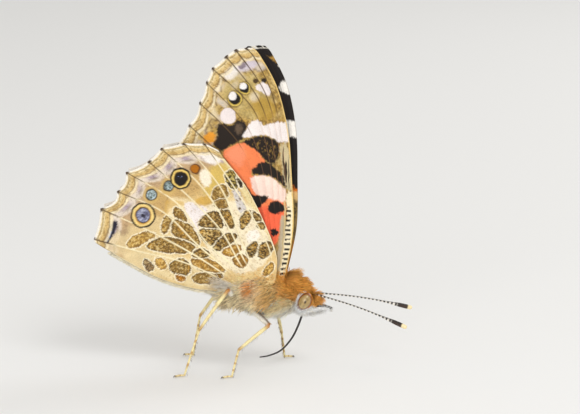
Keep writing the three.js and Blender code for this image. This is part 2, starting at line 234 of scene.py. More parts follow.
# Each vein runs from the root through its bends to the margin, which is notched before the next vein.
forewing = {
    "layer": 0.48, "spread": 1.9, "spreadBehind": 1.9,
    "root": [(4.1, 12.0), (2.6, 11.8)],
    "veins": [
        [(5.3, 19.0), (5.1, 26.0), (4.6, 32.2), (3.2, 37.9), (1.0, 42.0), (0.0, 43.1)],
        [(4.4, 20.5), (3.9, 30.2), (2.6, 36.8), (0.4, 41.5), (-0.9, 43.1)],
        [(4.1, 20.5), (3.4, 30.0), (1.6, 37.2), (-2.3, 42.9)],
        [(3.6, 20.5), (2.8, 29.2), (0.8, 36.2), (-3.6, 42.0)],
        [(2.9, 20.5), (2.1, 28.4), (0.0, 35.0), (-5.4, 40.4)],
        [(2.2, 20.5), (1.1, 27.6), (-1.0, 33.0), (-6.2, 38.5)],
        [(1.6, 20.0), (0.1, 26.0), (-2.2, 30.9), (-7.1, 35.8)],
        [(1.1, 18.8), (-0.8, 24.8), (-3.5, 28.1), (-8.5, 32.8)],
        [(-0.1, 18.1), (-2.9, 23.3), (-6.4, 26.9), (-10.1, 30.1)],
        [(-0.8, 17.8), (-4.0, 22.4), (-7.2, 26.0), (-9.9, 29.2)],
    ],
    "notches": [0, 0.04, 0.05, 0.1, 0.12, 0.25, 0.4, 0.15, 0.05],
}
hindwing = {
    "layer": 1.33, "spread": 1.9, "spreadBehind": 1.05,
    "root": [(3.1, 12.2), (-2.4, 10.9)],
    "veins": [
        [(3.2, 15.5), (1.7, 19.7), (-0.8, 24.7), (-3.5, 28.2), (-4.5, 29.6)],
        [(2.3, 16.2), (0.0, 20.8), (-3.0, 25.6), (-6.4, 30.5)],
        [(-0.4, 15.3), (-2.0, 19.0), (-4.2, 24.6), (-9.1, 30.5)],
        [(-1.2, 15.3), (-3.3, 19.5), (-6.8, 24.8), (-12.1, 29.8)],
        [(-1.8, 14.9), (-4.3, 19.0), (-8.4, 23.3), (-13.8, 28.0)],
        [(-2.6, 14.3), (-6.2, 17.4), (-10.2, 22.6), (-16.8, 26.5)],
        [(-3.5, 13.9), (-7.4, 17.1), (-12.0, 21.3), (-18.0, 23.9)],
        [(-4.0, 13.4), (-8.4, 16.1), (-13.8, 18.8), (-20.2, 21.6)],
        [(-4.7, 12.8), (-9.4, 14.8), (-15.0, 16.1), (-21.0, 17.6)],
        [(-7.2, 11.1), (-12.1, 12.4), (-16.5, 14.6), (-20.8, 17.1)],
    ],
    "notches": [0, 0.12, 0.1, 0.14, 0.3, 0.45, 0.75, 0.2, -0.1],
}
sheet = {
    "rows": 226, "perVein": 22, "halfThick": 0.06, "veinRise": 0.05, "veinWidth": 0.16, "pleat": 0.05,
    "vivid": 1.15, "leftForewingSwing": 2.8,  # degrees
}


# Places on the flat wing, with how far each is from the margin, from the nearest vein and along its cell.
def layOut(wing):
    count = len(wing["veins"])
    rows = sheet["rows"]
    lines, lengths = [], []
    for k, stops in enumerate(wing["veins"]):
        share = k / (count - 1)
        root = [a + (b - a) * share for a, b in zip(*wing["root"])]
        line, length = splinePoints([root, *stops], rows)
        lines.append(line)
        lengths.append(length)
    across = np.linspace(0, count - 1, (count - 1) * sheet["perVein"] + 1)
    cell = np.minimum(across.astype(int), count - 2)
    share = across - cell
    lines, lengths = np.array(lines), np.array(lengths)
    plane = lines[cell] * (1 - share)[:, None, None] + lines[cell + 1] * share[:, None, None]
    gap = np.linalg.norm(lines[cell + 1] - lines[cell], axis=2)
    along = np.linspace(0, 1, rows)[None, :] * np.ones(len(across))[:, None]
    length = lengths[cell] * (1 - share) + lengths[cell + 1] * share
    notch = np.array(wing["notches"])[cell] * np.sin(np.pi * share)
    outward = plane[:, -1] - plane[:, -12]
    outward /= np.linalg.norm(outward, axis=1)[:, None]
    pull = notch[:, None] * smooth(0.86, 1.0, along)
    plane = plane - outward[:, None, :] * pull[:, :, None]
    return {
        "plane": plane.reshape(-1, 2),
        "margin": ((1 - along) * length[:, None]).ravel(),
        "vein": (np.minimum(share, 1 - share)[:, None] * gap).ravel(),
        "side": (np.minimum(across, count - 1 - across)[:, None] * gap).ravel(),
        "share": (share[:, None] * np.ones(rows)).ravel(),
        "cell": (cell[:, None] * np.ones(rows, int)).ravel(),
        "along": along.ravel(),
        "columns": len(across),
    }


def standOut(wing, plane):  # how far the sheet stands from the middle plane
    rise = (plane[:, 0] - body["forward"]) * math.sin(pitch) + (plane[:, 1] - body["up"]) * math.cos(pitch)
    lean = 1 / (1 + np.exp(rise - 2.5))
    behind = smooth(0, 4, -plane[:, 0])
    return wing["layer"] + lean * (wing["spread"] + (wing["spreadBehind"] - wing["spread"]) * behind)


def swung(plane, pivot, degrees):
    turn = math.radians(-degrees)
    spot = plane - np.array(pivot)
    turned = np.stack([
        spot[:, 0] * math.cos(turn) - spot[:, 1] * math.sin(turn),
        spot[:, 0] * math.sin(turn) + spot[:, 1] * math.cos(turn),
    ], axis=1)
    return turned + np.array(pivot)


def wingPiece(name, wing, side, swing, undersideTones, uppersideTones):
    flat = layOut(wing)
    grid = bmesh.new()
    bmesh.ops.create_grid(grid, x_segments=flat["columns"] - 1, y_segments=sheet["rows"] - 1, size=1)
    tag = grid.verts.layers.int.new("place")
    ordered = sorted(grid.verts, key=lambda v: (round(v.co.x, 6), round(v.co.y, 6)))
    rankOf = {v: k for k, v in enumerate(ordered)}
    turned = swung(flat["plane"], wing["root"][0], swing)
    offset = standOut(wing, turned)
    inner = np.clip(flat["side"] / 0.8, 0, 1)
    pleats = sheet["pleat"] * np.cos(2 * np.pi * flat["share"]) * smooth(0.15, 0.5, flat["along"]) * inner
    ridge = sheet["veinRise"] * np.exp(-(flat["vein"] / sheet["veinWidth"]) ** 2) * inner
    half = sheet["halfThick"] * (0.5 + 0.5 * np.clip(np.minimum(flat["margin"], flat["side"]) / 0.5, 0, 1))
    faces = {}
    for face in (1, -1):
        out = side * (offset + pleats + face * (half + ridge))
        faces[face] = [at(f, u, x) for (f, u), x in zip(turned, out)]
    copy = bmesh.ops.duplicate(grid, geom=grid.verts[:] + grid.edges[:] + grid.faces[:])
    innerOf = {v: copy["vert_map"][v] for v in ordered}
    for v, k in rankOf.items():
        v.co = faces[1][k]
        innerOf[v].co = faces[-1][k]
        v[tag] = k
        innerOf[v][tag] = k + len(ordered)
    rims = [e for e in grid.edges if e.is_boundary]
    bmesh.ops.bridge_loops(grid, edges=rims)
    bmesh.ops.recalc_face_normals(grid, faces=grid.faces[:])
    order = [v[tag] for v in grid.verts]
    grid.verts.layers.int.remove(tag)
    mesh = bpy.data.meshes.new(name)
    grid.to_mesh(mesh)
    grid.free()
    colours = np.vstack([undersideTones(wing, flat), uppersideTones(wing, flat)])[order]
    grey = colours.mean(axis=1, keepdims=True)
    colours = grey + (colours - grey) * sheet["vivid"]
    print("wing", name, len(mesh.vertices))
    finishPiece(name, mesh, colours, scaleFinish, [name])


# The markings are drawn on a sketch of the right side, with 5.6 steps to a pixel of the photo.
sketch = {"step": 5.6, "left": 90, "top": 40}


def onSketch(plane, layer):
    turn, rise = math.radians(view["turn"]), math.radians(view["rise"])
    left = -layer
    f, up = plane[:, 0], plane[:, 1]
    x = view["floorX"] + view["pixelsPerMm"] * (f * math.cos(turn) + left * math.sin(turn))
    lift = up * math.cos(rise) + (left * math.cos(turn) - f * math.sin(turn)) * math.sin(rise)
    y = view["floorY"] - view["pixelsPerMm"] * lift
    return np.stack([(x - sketch["left"]) * sketch["step"], (y - sketch["top"]) * sketch["step"]], axis=1)


def rounded(corners):  # each corner is cut off a quarter of the way along its sides
    line = np.array(corners, float)
    after = np.roll(line, -1, axis=0)
    return np.stack([line * 0.75 + after * 0.25, line * 0.25 + after * 0.75], axis=1).reshape(-1, 2)


def awayFrom(spots, a, b):  # distance to the straight line between two places
    d = b - a
    t = np.clip(((spots - a) @ d) / max(d @ d, 1e-9), 0, 1)
    return np.linalg.norm(spots - a - t[:, None] * d, axis=1)


def insideBy(spots, corners):  # distance inside a rounded outline, negative outside
    line = rounded(corners)
    after = np.roll(line, -1, axis=0)
    best = np.full(len(spots), 1e9)
    inside = np.zeros(len(spots), bool)
    for a, b in zip(line, after):
        d = b - a
        best = np.minimum(best, awayFrom(spots, a, b))
        crosses = (a[1] > spots[:, 1]) != (b[1] > spots[:, 1])
        with np.errstate(divide="ignore", invalid="ignore"):
            inside ^= crosses & (spots[:, 0] < a[0] + (spots[:, 1] - a[1]) * d[0] / d[1])
    return np.where(inside, best, -best)


def lineDistance(spots, stops):
    stops = np.array(stops, float)
    return np.min([awayFrom(spots, a, b) for a, b in zip(stops[:-1], stops[1:])], axis=0)


# The outer margin: a pale buff band with fine scalloped lines and a white fringe. Each line has its tone,
# where it starts and ends in millimetres from the margin, how soft and strong it is, and how far it bows.
edgeBands = [
    ("dcc594", -1, 1.5, 0.4, 0.95),
    ("c39a55", 0.8, 1.25, 0.2, 0.4, 0.2),
    ("f0e3c4", 1.35, 1.75, 0.14, 0.8, 0.3),
    ("6a5236", 1.22, 1.36, 0.09, 0.75, 0.3),
    ("5e4a30", 0.4, 0.5, 0.07, 0.85, 0.1),
    ("e9d9b4", 0.5, 0.68, 0.07, 0.6, 0.1),
    ("efe9dd", -1.0, 0.32, 0.08),
]


class Painter:  # lays tones over a wing, each with a ragged edge
    def __init__(self, wing, flat, ground):
        self.flat = flat
        self.spots = onSketch(flat["plane"], wing["layer"])
        cube = np.column_stack([flat["plane"], np.zeros(len(flat["plane"]))])
        self.rough = grain(cube, 3.2, 3.0) * 5 + grain(cube, 7.0, 9.0) * 5
        self.speck = grain(cube, 3.4, 21.0) * 1.5 + 0.3 * np.random.default_rng(5).standard_normal(len(cube))
        self.dust = np.random.default_rng(9).standard_normal(len(cube))
        self.broad = grain(cube, 0.8, 40.0)
        warp = np.stack([grain(cube, 1.3, 60.0), grain(cube, 1.3, 80.0)], axis=1)
        self.spots = self.spots + warp * 5
        self.colours = tiled(ground, len(cube))

    def lay(self, code, share):
        self.colours = mixTone(self.colours, code, np.clip(share, 0, 1))

    def patch(self, code, corners, soft=5.0, ragged=1.0, strength=1.0):
        depth = insideBy(self.spots, corners) + self.rough * ragged
        self.lay(code, smooth(-soft, soft, depth) * strength)

    # Cells of a net: each is filled and speckled, and grown until a thin pale line is left between neighbours.
    def net(self, cells, halo, grow=5.0, line=3.0):
        depths = np.array([insideBy(self.spots, corners) for _, _, _, corners in cells])
        owner = depths.argmax(axis=0)
        ordered = np.sort(depths, axis=0)
        best, second = ordered[-1], ordered[-2]
        self.lay(halo, smooth(-13, -8, best + self.rough * 0.5))
        depth = np.minimum(best + grow, (best - second) / 2 - line) + self.rough * 0.5 + self.dust * 1.2
        warm = smooth(0.1, 0.5, self.broad + 0.4 * self.speck)
        grit = smooth(-0.1, 0.2, self.dust * 0.3 + self.speck)
        pale = smooth(0.45, 0.8, self.dust * 0.25 - self.speck)
        for k, (fill, edge, specks, _) in enumerate(cells):
            mine = owner == k
            self.lay(fill, smooth(-2, 2, depth) * mine)
            self.lay("d09a48", smooth(3, 9, depth) * warm * mine * 0.6)
            self.lay(edge, smooth(-2, 2, depth) * fade(2, 8, depth) * mine * (0.35 + 0.5 * specks))
            self.lay(edge, smooth(-1, 4, depth) * grit * mine * specks)
            self.lay("f0dca8", smooth(3, 8, depth) * pale * mine * 0.5)

    def dusted(self, code, low, high, where, strength=1.0):  # single scales of another tone
        self.lay(code, smooth(low, high, 0.6 * self.dust + 1.6 * self.speck) * where * strength)

    def spot(self, code, centre, radius, squash=1.0, soft=3.0, strength=1.0):
        away = np.hypot(self.spots[:, 0] - centre[0], (self.spots[:, 1] - centre[1]) / squash)
        self.lay(code, fade(radius - soft, radius + soft, away + self.rough * 0.25) * strength)

    def stroke(self, code, stops, width, soft=3.0, strength=1.0):
        away = lineDistance(self.spots, stops)
        self.lay(code, fade(width - soft, width + soft, away + self.rough * 0.3) * strength)

    def veins(self, code, width, start=0.0, strength=1.0):
        thin = fade(width * 0.6, width * 1.4, self.flat["vein"])
        self.lay(code, thin * smooth(start, start + 0.08, self.flat["along"]) * strength)

    def marginBand(self, code, near, far, soft=0.12, strength=1.0, wave=0.0):
        bow = wave * np.sin(np.pi * self.flat["share"])
        margin = self.flat["margin"] + self.rough * 0.012 - bow
        self.lay(code, between(margin, near, far, soft) * strength)

    def round(self, centre, low, high):  # 1 round a place on the sketch, with a soft edge
        return fade(low, high, np.hypot(self.spots[:, 0] - centre[0], self.spots[:, 1] - centre[1]))

    def edging(self):
        flat = self.flat
        for band in edgeBands:
            self.marginBand(*band)
        near = fade(0.16, 0.36, flat["vein"] + self.rough * 0.03)
        self.lay("4a3a2c", near * fade(0.25, 0.4, flat["margin"]) * (flat["side"] > 0.6))
        band = smooth(0.35, 0.6, flat["margin"]) * fade(1.5, 2.0, flat["margin"])
        self.dusted("8a6a3c", 0.5, 1.2, band, 0.7)
        self.lay("a5885a", smooth(0.0, 0.5, self.broad) * band * 0.5)
        vein = fade(0.05, 0.13, flat["vein"]) * fade(2.0, 3.2, flat["margin"])
        self.lay("3c2e20", vein * (flat["side"] > 0.5) * 0.8)


def hindUnder(wing, flat):
    p = Painter(wing, flat, "d8bd8c")
    p.lay("e6d3a6", smooth(0.0, 0.5, p.broad) * 0.6)
    # the eyespot band, greyish buff, and the pale lilac crescents outside it
    p.marginBand("b5997a", 2.7, 7.4, 0.7, 0.85)
    p.marginBand("c9a76a", 4.6, 7.9, 0.8, 0.6)
    p.marginBand("e6dacb", 1.7, 2.9, 0.3, 0.9, 0.5)
    streak = np.exp(-((flat["share"] - 0.5) / 0.25) ** 2) * smooth(-0.5, 0.4, p.broad + 0.4)
    p.lay("a291a0", streak * between(flat["margin"], 1.95, 2.75, 0.15) * 0.85)
    p.lay("6d5a4e", streak * between(flat["margin"], 2.675, 3.05, 0.075, 0.15) * 0.6)
    p.dusted("7d6448", 0.9, 1.6, between(flat["margin"], 1.95, 7.5, 0.25, 0.5), 0.6)
    p.patch("d0b46c", [(690, 690), (800, 690), (850, 800), (720, 880), (640, 870), (650, 800)], 16, 1, 0.9)
    p.patch("e3d2a4", [(740, 650), (800, 700), (1040, 1120), (1000, 1130), (880, 900), (780, 720)], 8, 1)
    p.patch("e0cba0", [(60, 1120), (200, 1050), (420, 960), (470, 1100), (300, 1210), (120, 1190)], 18, 1, 0.7)
    p.patch("ead9b4", [(440, 880), (560, 890), (640, 930), (700, 1100), (560, 1120), (430, 1080)], 14, 1, 0.9)
    p.patch("efe3c8", [(600, 940), (760, 900), (900, 900), (1030, 1160), (960, 1280), (800, 1300), (640, 1150)],
            12, 1, 0.9)
    p.patch("e2cfa6", [(200, 1170), (480, 1180), (780, 1290), (700, 1400), (420, 1320), (200, 1230)], 14, 1,
            0.8)
    # pale patches
    p.patch("ebe2de", [(525, 918), (580, 900), (650, 930), (668, 958), (640, 985), (612, 1030), (630, 1110),
                       (600, 1075), (560, 1000)], 5)
    p.patch("c9a050", [(585, 905), (640, 868), (705, 872), (700, 908), (640, 932), (600, 925)], 8, 1, 0.75)
    p.patch("cba45a", [(425, 915), (450, 893), (520, 900), (545, 925), (500, 925), (450, 950), (425, 1000)], 8,
            1, 0.6)
    p.patch("8b6f58", [(170, 1060), (215, 1040), (232, 1070), (200, 1092)], 10, 1.5, 0.6)
    p.patch("f1e7d2", [(618, 740), (660, 715), (695, 790), (655, 835), (622, 790)], 8)
    p.patch("f0e8e0", [(600, 640), (700, 625), (745, 660), (715, 705), (660, 692), (640, 662)], 8)
    p.patch("f4ecdf", [(870, 1075), (950, 1055), (955, 1115), (890, 1145)], 6)
    p.patch("d3ccc6", [(795, 830), (840, 840), (865, 900), (885, 950), (850, 985), (815, 900)], 6)
    greyPatch = insideBy(p.spots, [(790, 820), (845, 835), (890, 950), (850, 990), (810, 900)])
    p.lay("3a2e22", smooth(0.35, 0.5, p.speck) * smooth(0, 8, greyPatch))
    # the brown cells of the net, speckled and edged in black
    dark, brown, ochre = "2b2013", "9a7a45", "b08f55"
    net = [
        (brown, dark, [(612, 1028), (650, 975), (700, 958), (735, 968), (757, 1047), (700, 1052), (640, 1048)]),
        (brown, dark, [(728, 955), (772, 948), (803, 985), (812, 1048), (775, 1048), (745, 1000)]),
        (ochre, dark, [(608, 1063), (660, 1055), (752, 1066), (722, 1112), (690, 1152), (640, 1115)]),
        (brown, dark, [(692, 1168), (718, 1112), (770, 1084), (822, 1083), (818, 1112), (770, 1152),
                       (712, 1174)]),
        ("a5834a", "4a3820", [(478, 932), (520, 950), (558, 1018), (500, 1002), (476, 975)]),
        ("a5834a", "4a3820", [(468, 1008), (520, 1012), (582, 1048), (632, 1152), (560, 1112), (468, 1092)]),
        (ochre, "5c4628", [(403, 1062), (428, 983), (462, 990), (450, 1050), (430, 1078)]),
        (ochre, "5a4424", [(688, 872), (708, 825), (750, 812), (772, 830), (777, 882), (740, 882), (700, 902)]),
        (brown, "4a3820", [(690, 917), (740, 882), (772, 900), (772, 942), (730, 946)]),
        ("a8934f", dark, [(757, 752), (800, 728), (822, 770), (832, 832), (800, 832), (772, 800)]),
        (dark, dark, [(818, 768), (848, 788), (854, 830), (830, 805)]),
        (ochre, dark, [(842, 1012), (868, 963), (906, 952), (912, 985), (882, 1032), (850, 1062)]),
        (brown, dark, [(908, 955), (945, 978), (968, 1012), (930, 1012), (910, 985)]),
        (ochre, dark, [(932, 1030), (966, 1013), (983, 1052), (950, 1058)]),
        (brown, dark, [(878, 1172), (908, 1133), (942, 1127), (932, 1182), (900, 1218), (883, 1202)]),
        (brown, dark, [(942, 1202), (960, 1138), (1002, 1122), (1028, 1160), (1002, 1203), (965, 1218)]),
        ("c9a05a", "5a4424", [(972, 1292), (1010, 1243), (1033, 1250), (1022, 1282), (990, 1308)]),
        ("a87a3c", "5a4020", [(803, 1215), (850, 1193), (888, 1210), (882, 1252), (850, 1263), (813, 1242)]),
        ("c0934c", "6a4a26", [(743, 1180), (790, 1150), (842, 1143), (852, 1172), (800, 1207), (758, 1197)]),
        (brown, dark, [(572, 1192), (640, 1158), (682, 1192), (640, 1218), (598, 1213)]),
        ("a5834a", "453520", [(325, 1142), (400, 1100), (470, 1100), (605, 1150), (560, 1182), (450, 1178),
                              (345, 1162)]),
        ("c3a060", "7a5c34", [(222, 1122), (260, 1093), (330, 1068), (385, 1085), (330, 1112), (270, 1152),
                              (228, 1152)]),
        (brown, "3c2e1a", [(458, 1242), (520, 1208), (573, 1250), (562, 1303), (500, 1303), (462, 1282)]),
        ("b98e4c", "6a5230", [(573, 1213), (680, 1220), (765, 1270), (740, 1303), (640, 1282), (588, 1252)]),
        ("a08560", "3a3028", [(308, 1218), (345, 1225), (372, 1272), (330, 1283)]),
        ("c8a05c", "7a5c34", [(368, 1213), (420, 1213), (443, 1262), (400, 1273)]),
        ("b9792f", "6a4a26", [(488, 1300), (530, 1303), (543, 1338), (498, 1333)]),
        (brown, "5a4424", [(578, 1310), (680, 1288), (765, 1300), (700, 1353), (600, 1348)]),
    ]
    p.net([(fill, edge, 0.95 if edge == dark else 0.8, corners) for fill, edge, corners in net], "f2e7cb")
    p.dusted("a88450", 1.0, 1.8, smooth(6.5, 8.5, flat["margin"]), 0.6)
    p.veins("f2e6c2", 0.1, 0.12, 0.9)
    # spots from the inner corner to the front edge
    inner, outer = (306, 979), (516, 777)
    for code, radius, drop, strength in (("1d1712", 70, 0, 1), ("e6cb8c", 60, 0, 1), ("c08a44", 47, 2, 0.7),
                                         ("2a2018", 43, 0, 1), ("85879f", 37, 0, 1)):
        p.spot(code, (inner[0], inner[1] + drop), radius, strength=strength)
    core = p.round(inner, 30, 38)
    p.lay("c3c5d6", smooth(0.2, 0.8, p.speck + 0.4 * p.dust) * core * 0.8)
    p.lay("3a3348", smooth(0.2, 0.8, -p.speck + 0.4 * p.dust) * core * 0.7)
    p.spot("201a24", (306, 982), 13, strength=0.9)
    for centre, radius in (((352, 867), 34), ((448, 820), 32)):
        p.spot("c9ab72", centre, radius + 14, strength=0.8)
        p.spot("3a3228", centre, radius)
        p.spot("8c9a9a", centre, radius - 8, soft=4)
        middle = p.round(centre, radius - 12, radius - 4)
        p.lay("c9d8dc", smooth(0.0, 0.6, p.speck + 0.5 * p.dust) * middle * 0.8)
        p.lay("39402f", smooth(0.0, 0.5, -p.speck + 0.5 * p.dust) * middle * 0.85)
    rings = [("1a1512", 60, 1), ("e3c67c", 50, 1), ("8a6630", 41, 0.7), ("17120f", 38, 1)]
    for code, radius, strength in rings:
        p.spot(code, outer, radius, strength=strength)
    p.lay("7f8cb0", smooth(1.2, 1.8, p.speck + 0.5 * p.dust) * p.round((513, 770), 12, 24))
    p.spot("5a3a20", (597, 725), 29)
    p.spot("a8692c", (594, 724), 22)
    p.patch("24232f", [(78, 1125), (104, 1052), (148, 1000), (170, 1016), (148, 1080), (108, 1142)], 5)
    p.patch("8d9cc4", [(92, 1112), (116, 1066), (134, 1062), (128, 1086), (106, 1122)], 4)
    p.patch("d8943c", [(60, 1075), (95, 1090), (90, 1125), (66, 1118)], 8, 1, 0.8)
    p.edging()
    p.lay("5c452b", fade(0.05, 0.12, flat["vein"]) * fade(2.2, 3.4, flat["margin"]) * 0.6)
    return p.colours


def foreUnder(wing, flat):
    p = Painter(wing, flat, "b09258")
    p.lay("c49a52", smooth(-0.2, 0.5, p.broad) * 0.6)
    p.dusted("4e3c20", 0.0, 0.8, 1.0, 0.7)
    p.dusted("dcc48c", 0.6, 1.4, smooth(-0.3, 0.3, -p.broad), 0.6)
    p.marginBand("cdb380", 1.6, 3.0, 0.4, 0.8)
    p.dusted("7a6440", 0.6, 1.3, 1.0, 0.5)
    mottle = grain(np.column_stack([p.spots * 0.02, np.zeros(len(p.spots))]), 1.0, 7.0) + 0.5 * p.speck
    inside = smooth(2.4, 3.4, flat["margin"])
    p.lay("6e5430", smooth(0.1, 0.6, mottle) * inside * 0.6)
    p.lay("dcc898", smooth(0.15, 0.7, -mottle) * inside * 0.5)
    p.lay("d9d0c6", smooth(-0.1, 0.4, p.broad) * between(flat["margin"], 2.1, 4.2, 0.3, 0.4) * 0.7)
    p.patch("ece4dc", [(738, 205), (760, 160), (835, 150), (842, 200), (800, 243)], 8, 1.6)
    p.patch("cfc5cc", [(830, 152), (900, 128), (948, 140), (930, 172), (870, 192), (840, 187)], 8, 1.6)
    p.spot("6f6068", (855, 155), 22, strength=0.8)
    p.patch("c5b27c", [(800, 210), (930, 180), (1000, 320), (1050, 420), (880, 460), (720, 330)], 22, 1.5, 0.5)
    p.patch("b08e45", [(905, 330), (1010, 330), (1060, 400), (1020, 465), (920, 440)], 18, 1.6, 0.7)
    p.spot("4c3a26", (930, 241), 14)
    p.spot("2c2218", (976, 239), 15)
    p.patch("ebe1de", [(928, 263), (986, 248), (1014, 290), (1014, 324), (970, 307), (935, 287)], 4)
    for stops in (
        [(742, 300), (730, 262), (748, 232), (770, 240)], [(690, 500), (672, 470), (690, 448), (712, 458)],
        [(716, 372), (700, 345), (716, 322)], [(668, 540), (652, 512), (668, 492)],
    ):
        p.stroke("6a5440", stops, 5, 4, 0.7)
    p.spot("e8dccb", (722, 285), 15, 1.3, 6, 0.6)
    p.spot("e6dac6", (925, 330), 22, 1.2, 12, 0.6)
    p.spot("decba0", (700, 420), 20, 1.5, 8, 0.6)
    # the dark field round the white bar
    p.patch("211812", [(700, 600), (688, 570), (720, 555), (712, 490), (742, 468), (790, 492), (830, 448),
                       (872, 468), (885, 495), (862, 545), (850, 572), (810, 585), (742, 632)], 7, 1.5)
    p.patch("6b5948", [(820, 470), (862, 478), (850, 540), (815, 520)], 10, 1.5, 0.7)
    p.patch("d9974a", [(636, 545), (690, 512), (714, 545), (692, 588), (650, 582)], 7)
    p.patch("211812", [(850, 572), (975, 535), (1062, 575), (1064, 640), (1034, 705), (980, 682), (940, 622),
                       (870, 596)], 7, 1.5)
    field = insideBy(p.spots, [(880, 585), (975, 552), (1055, 590), (1055, 640), (1030, 690), (950, 622)])
    p.dusted("9c7c46", 0.5, 1.3, smooth(0, 16, field), 0.75)
    p.patch("ece3df", [(852, 560), (878, 500), (918, 455), (950, 452), (974, 490), (1020, 470), (1130, 468),
                       (1130, 575), (1060, 578), (1010, 548), (980, 534), (900, 550)], 4)
    # coral field, lighter at the outer end and reddest near the root
    coral = [(738, 632), (800, 598), (850, 575), (895, 600), (940, 625), (990, 690), (965, 725), (910, 720),
             (905, 770), (1000, 760), (1095, 850), (1100, 960), (1060, 1100), (1040, 1145), (1010, 1140),
             (880, 960), (780, 720)]
    p.patch("ed8a62", coral, 4)
    p.patch("ee745a", [(900, 930), (1100, 930), (1060, 1110), (1020, 1150), (900, 1000)], 20, 1)
    p.patch("f2a083", [(745, 640), (850, 580), (880, 640), (850, 720), (800, 690)], 18, 1, 0.6)
    p.patch("f6ddd0", [(905, 765), (1000, 758), (1060, 800), (1102, 850), (1095, 915), (1030, 892), (960, 880),
                       (925, 860), (902, 800)], 7)
    p.patch("1f1813", [(898, 742), (950, 688), (1003, 683), (1062, 740), (1102, 780), (1128, 855), (1060, 792),
                       (1000, 755), (930, 757)], 5, 1.4)
    p.patch("1b1512", [(850, 790), (880, 813), (916, 872), (960, 868), (1008, 880), (976, 912), (946, 948),
                       (918, 915), (870, 850)], 4)
    p.patch("1b1512", [(993, 940), (1018, 903), (1060, 902), (1098, 935), (1083, 962), (1040, 978),
                       (1003, 967)], 4)
    p.patch("1b1512", [(1012, 1088), (1024, 1042), (1040, 1058), (1064, 1078), (1030, 1103)], 3, 1.4)
    # streaks along the front edge and the ladder of the costal cell
    p.patch("cbbd9c", [(1062, 585), (1105, 585), (1135, 720), (1145, 850), (1100, 840), (1075, 700)], 6, 1.5,
            0.9)
    stretched = np.column_stack([p.spots * np.array([0.09, 0.006]), np.zeros(len(p.spots))])
    strip = insideBy(p.spots, [(1058, 585), (1110, 585), (1150, 850), (1100, 850)])
    p.lay("33281d", smooth(0.0, 0.25, grain(stretched, 1.0)) * smooth(0, 8, strip))
    p.patch("f1e4c4", [(1095, 845), (1165, 850), (1158, 1000), (1140, 1340), (1050, 1340), (1085, 1100),
                       (1108, 960)], 5)
    p.patch("b9ab92", [(1068, 980), (1098, 980), (1085, 1180), (1055, 1320), (1040, 1300), (1060, 1120)], 6)
    rung = smooth(0.0, 0.35, np.sin(p.spots[:, 1] / 4.2) + p.rough * 0.08)
    p.lay("1f1813", rung * smooth(0, 4, 17 - lineDistance(p.spots, [(1112, 950), (1106, 1150), (1080, 1310)])))
    p.stroke("e0b95e", [(1136, 860), (1142, 1000), (1132, 1150), (1100, 1330)], 4)
    p.stroke("cdb88c", [(1092, 900), (1088, 1050), (1078, 1200), (1052, 1320)], 4)
    p.veins("b88a6a", 0.05, 0.3, 0.25)
    p.veins("4c3a22", 0.08, 0.66, 0.75)
    # small eyespots and the round white spot
    for centre, size in (((862, 270), 1.0), ((805, 325), 1.2)):
        x, y = centre
        p.spot("4a3820", (x + 10 * size, y + 12 * size), 38 * size, soft=4, strength=0.8)
        p.spot("d6bb6c", (x + 10 * size, y + 12 * size), 33 * size)
        p.spot("17120e", (x + 8 * size, y + 10 * size), 28 * size)
        p.spot("f0eae6", centre, 19 * size)
    p.spot("e9dedb", (780, 432), 42, 1.08)
    p.edging()
    p.lay("e7c887", fade(0.08, 0.2, flat["side"]) * (flat["cell"] == 0) * 0.8)
    return p.colours


def foreUpper(wing, flat):
    p = Painter(wing, flat, "cf7438")
    p.patch("1a1413", [(560, 480), (760, 560), (900, 560), (1010, 560), (1090, 830), (1200, 860), (1200, 0),
                       (560, 0)], 6, 1.5)
    p.patch("cf7438", [(640, 600), (900, 590), (1030, 640), (1030, 780), (900, 800), (740, 700)], 8, 1.5)
    p.patch("1a1413", [(890, 740), (960, 690), (1060, 740), (1060, 800), (960, 790)], 6, 1.5)
    p.patch("f7f2ea", [(1000, 560), (1015, 480), (1080, 462), (1180, 470), (1180, 560), (1080, 555)], 5)
    p.patch("f7f2ea", [(1000, 300), (1010, 252), (1060, 240), (1140, 250), (1140, 330), (1060, 322)], 5)
    for centre, radius in (((862, 290), 20), ((805, 350), 26), ((935, 215), 14), ((1010, 160), 14)):
        p.spot("f7f2ea", centre, radius)
    p.patch("a9793c", [(930, 40), (985, 60), (1005, 110), (950, 90)], 8)
    p.patch("8a744c", [(1000, 900), (1200, 880), (1200, 1400), (1000, 1400)], 14, 1)
    rootField = insideBy(p.spots, [(1000, 910), (1200, 890), (1200, 1300), (1000, 1300)])
    p.dusted("2c241a", 0.0, 0.6, smooth(0, 14, rootField), 0.85)
    p.patch("e2c08a", [(1080, 850), (1200, 850), (1200, 905), (1100, 900)], 8, 1, 0.9)
    p.patch("b9803c", [(1100, 1130), (1200, 1130), (1200, 1300), (1080, 1300)], 12, 1, 0.8)
    p.spot("f0e6d6", (1018, 135), 10)
    p.spot("f0e6d6", (998, 165), 7)
    p.patch("b08a4c", [(900, 30), (960, 60), (985, 110), (1000, 160), (930, 120)], 8)
    p.veins("2a1d14", 0.07, 0.3, 0.5)
    p.marginBand("1a1413", -1, 1.6, 0.2, 1.0, 0.3)
    p.marginBand("f2ece0", -1, 0.5, 0.08)
    p.lay("1a1413", fade(0.3, 0.5, flat["vein"]) * fade(0.3, 0.5, flat["margin"]))
    return p.colours


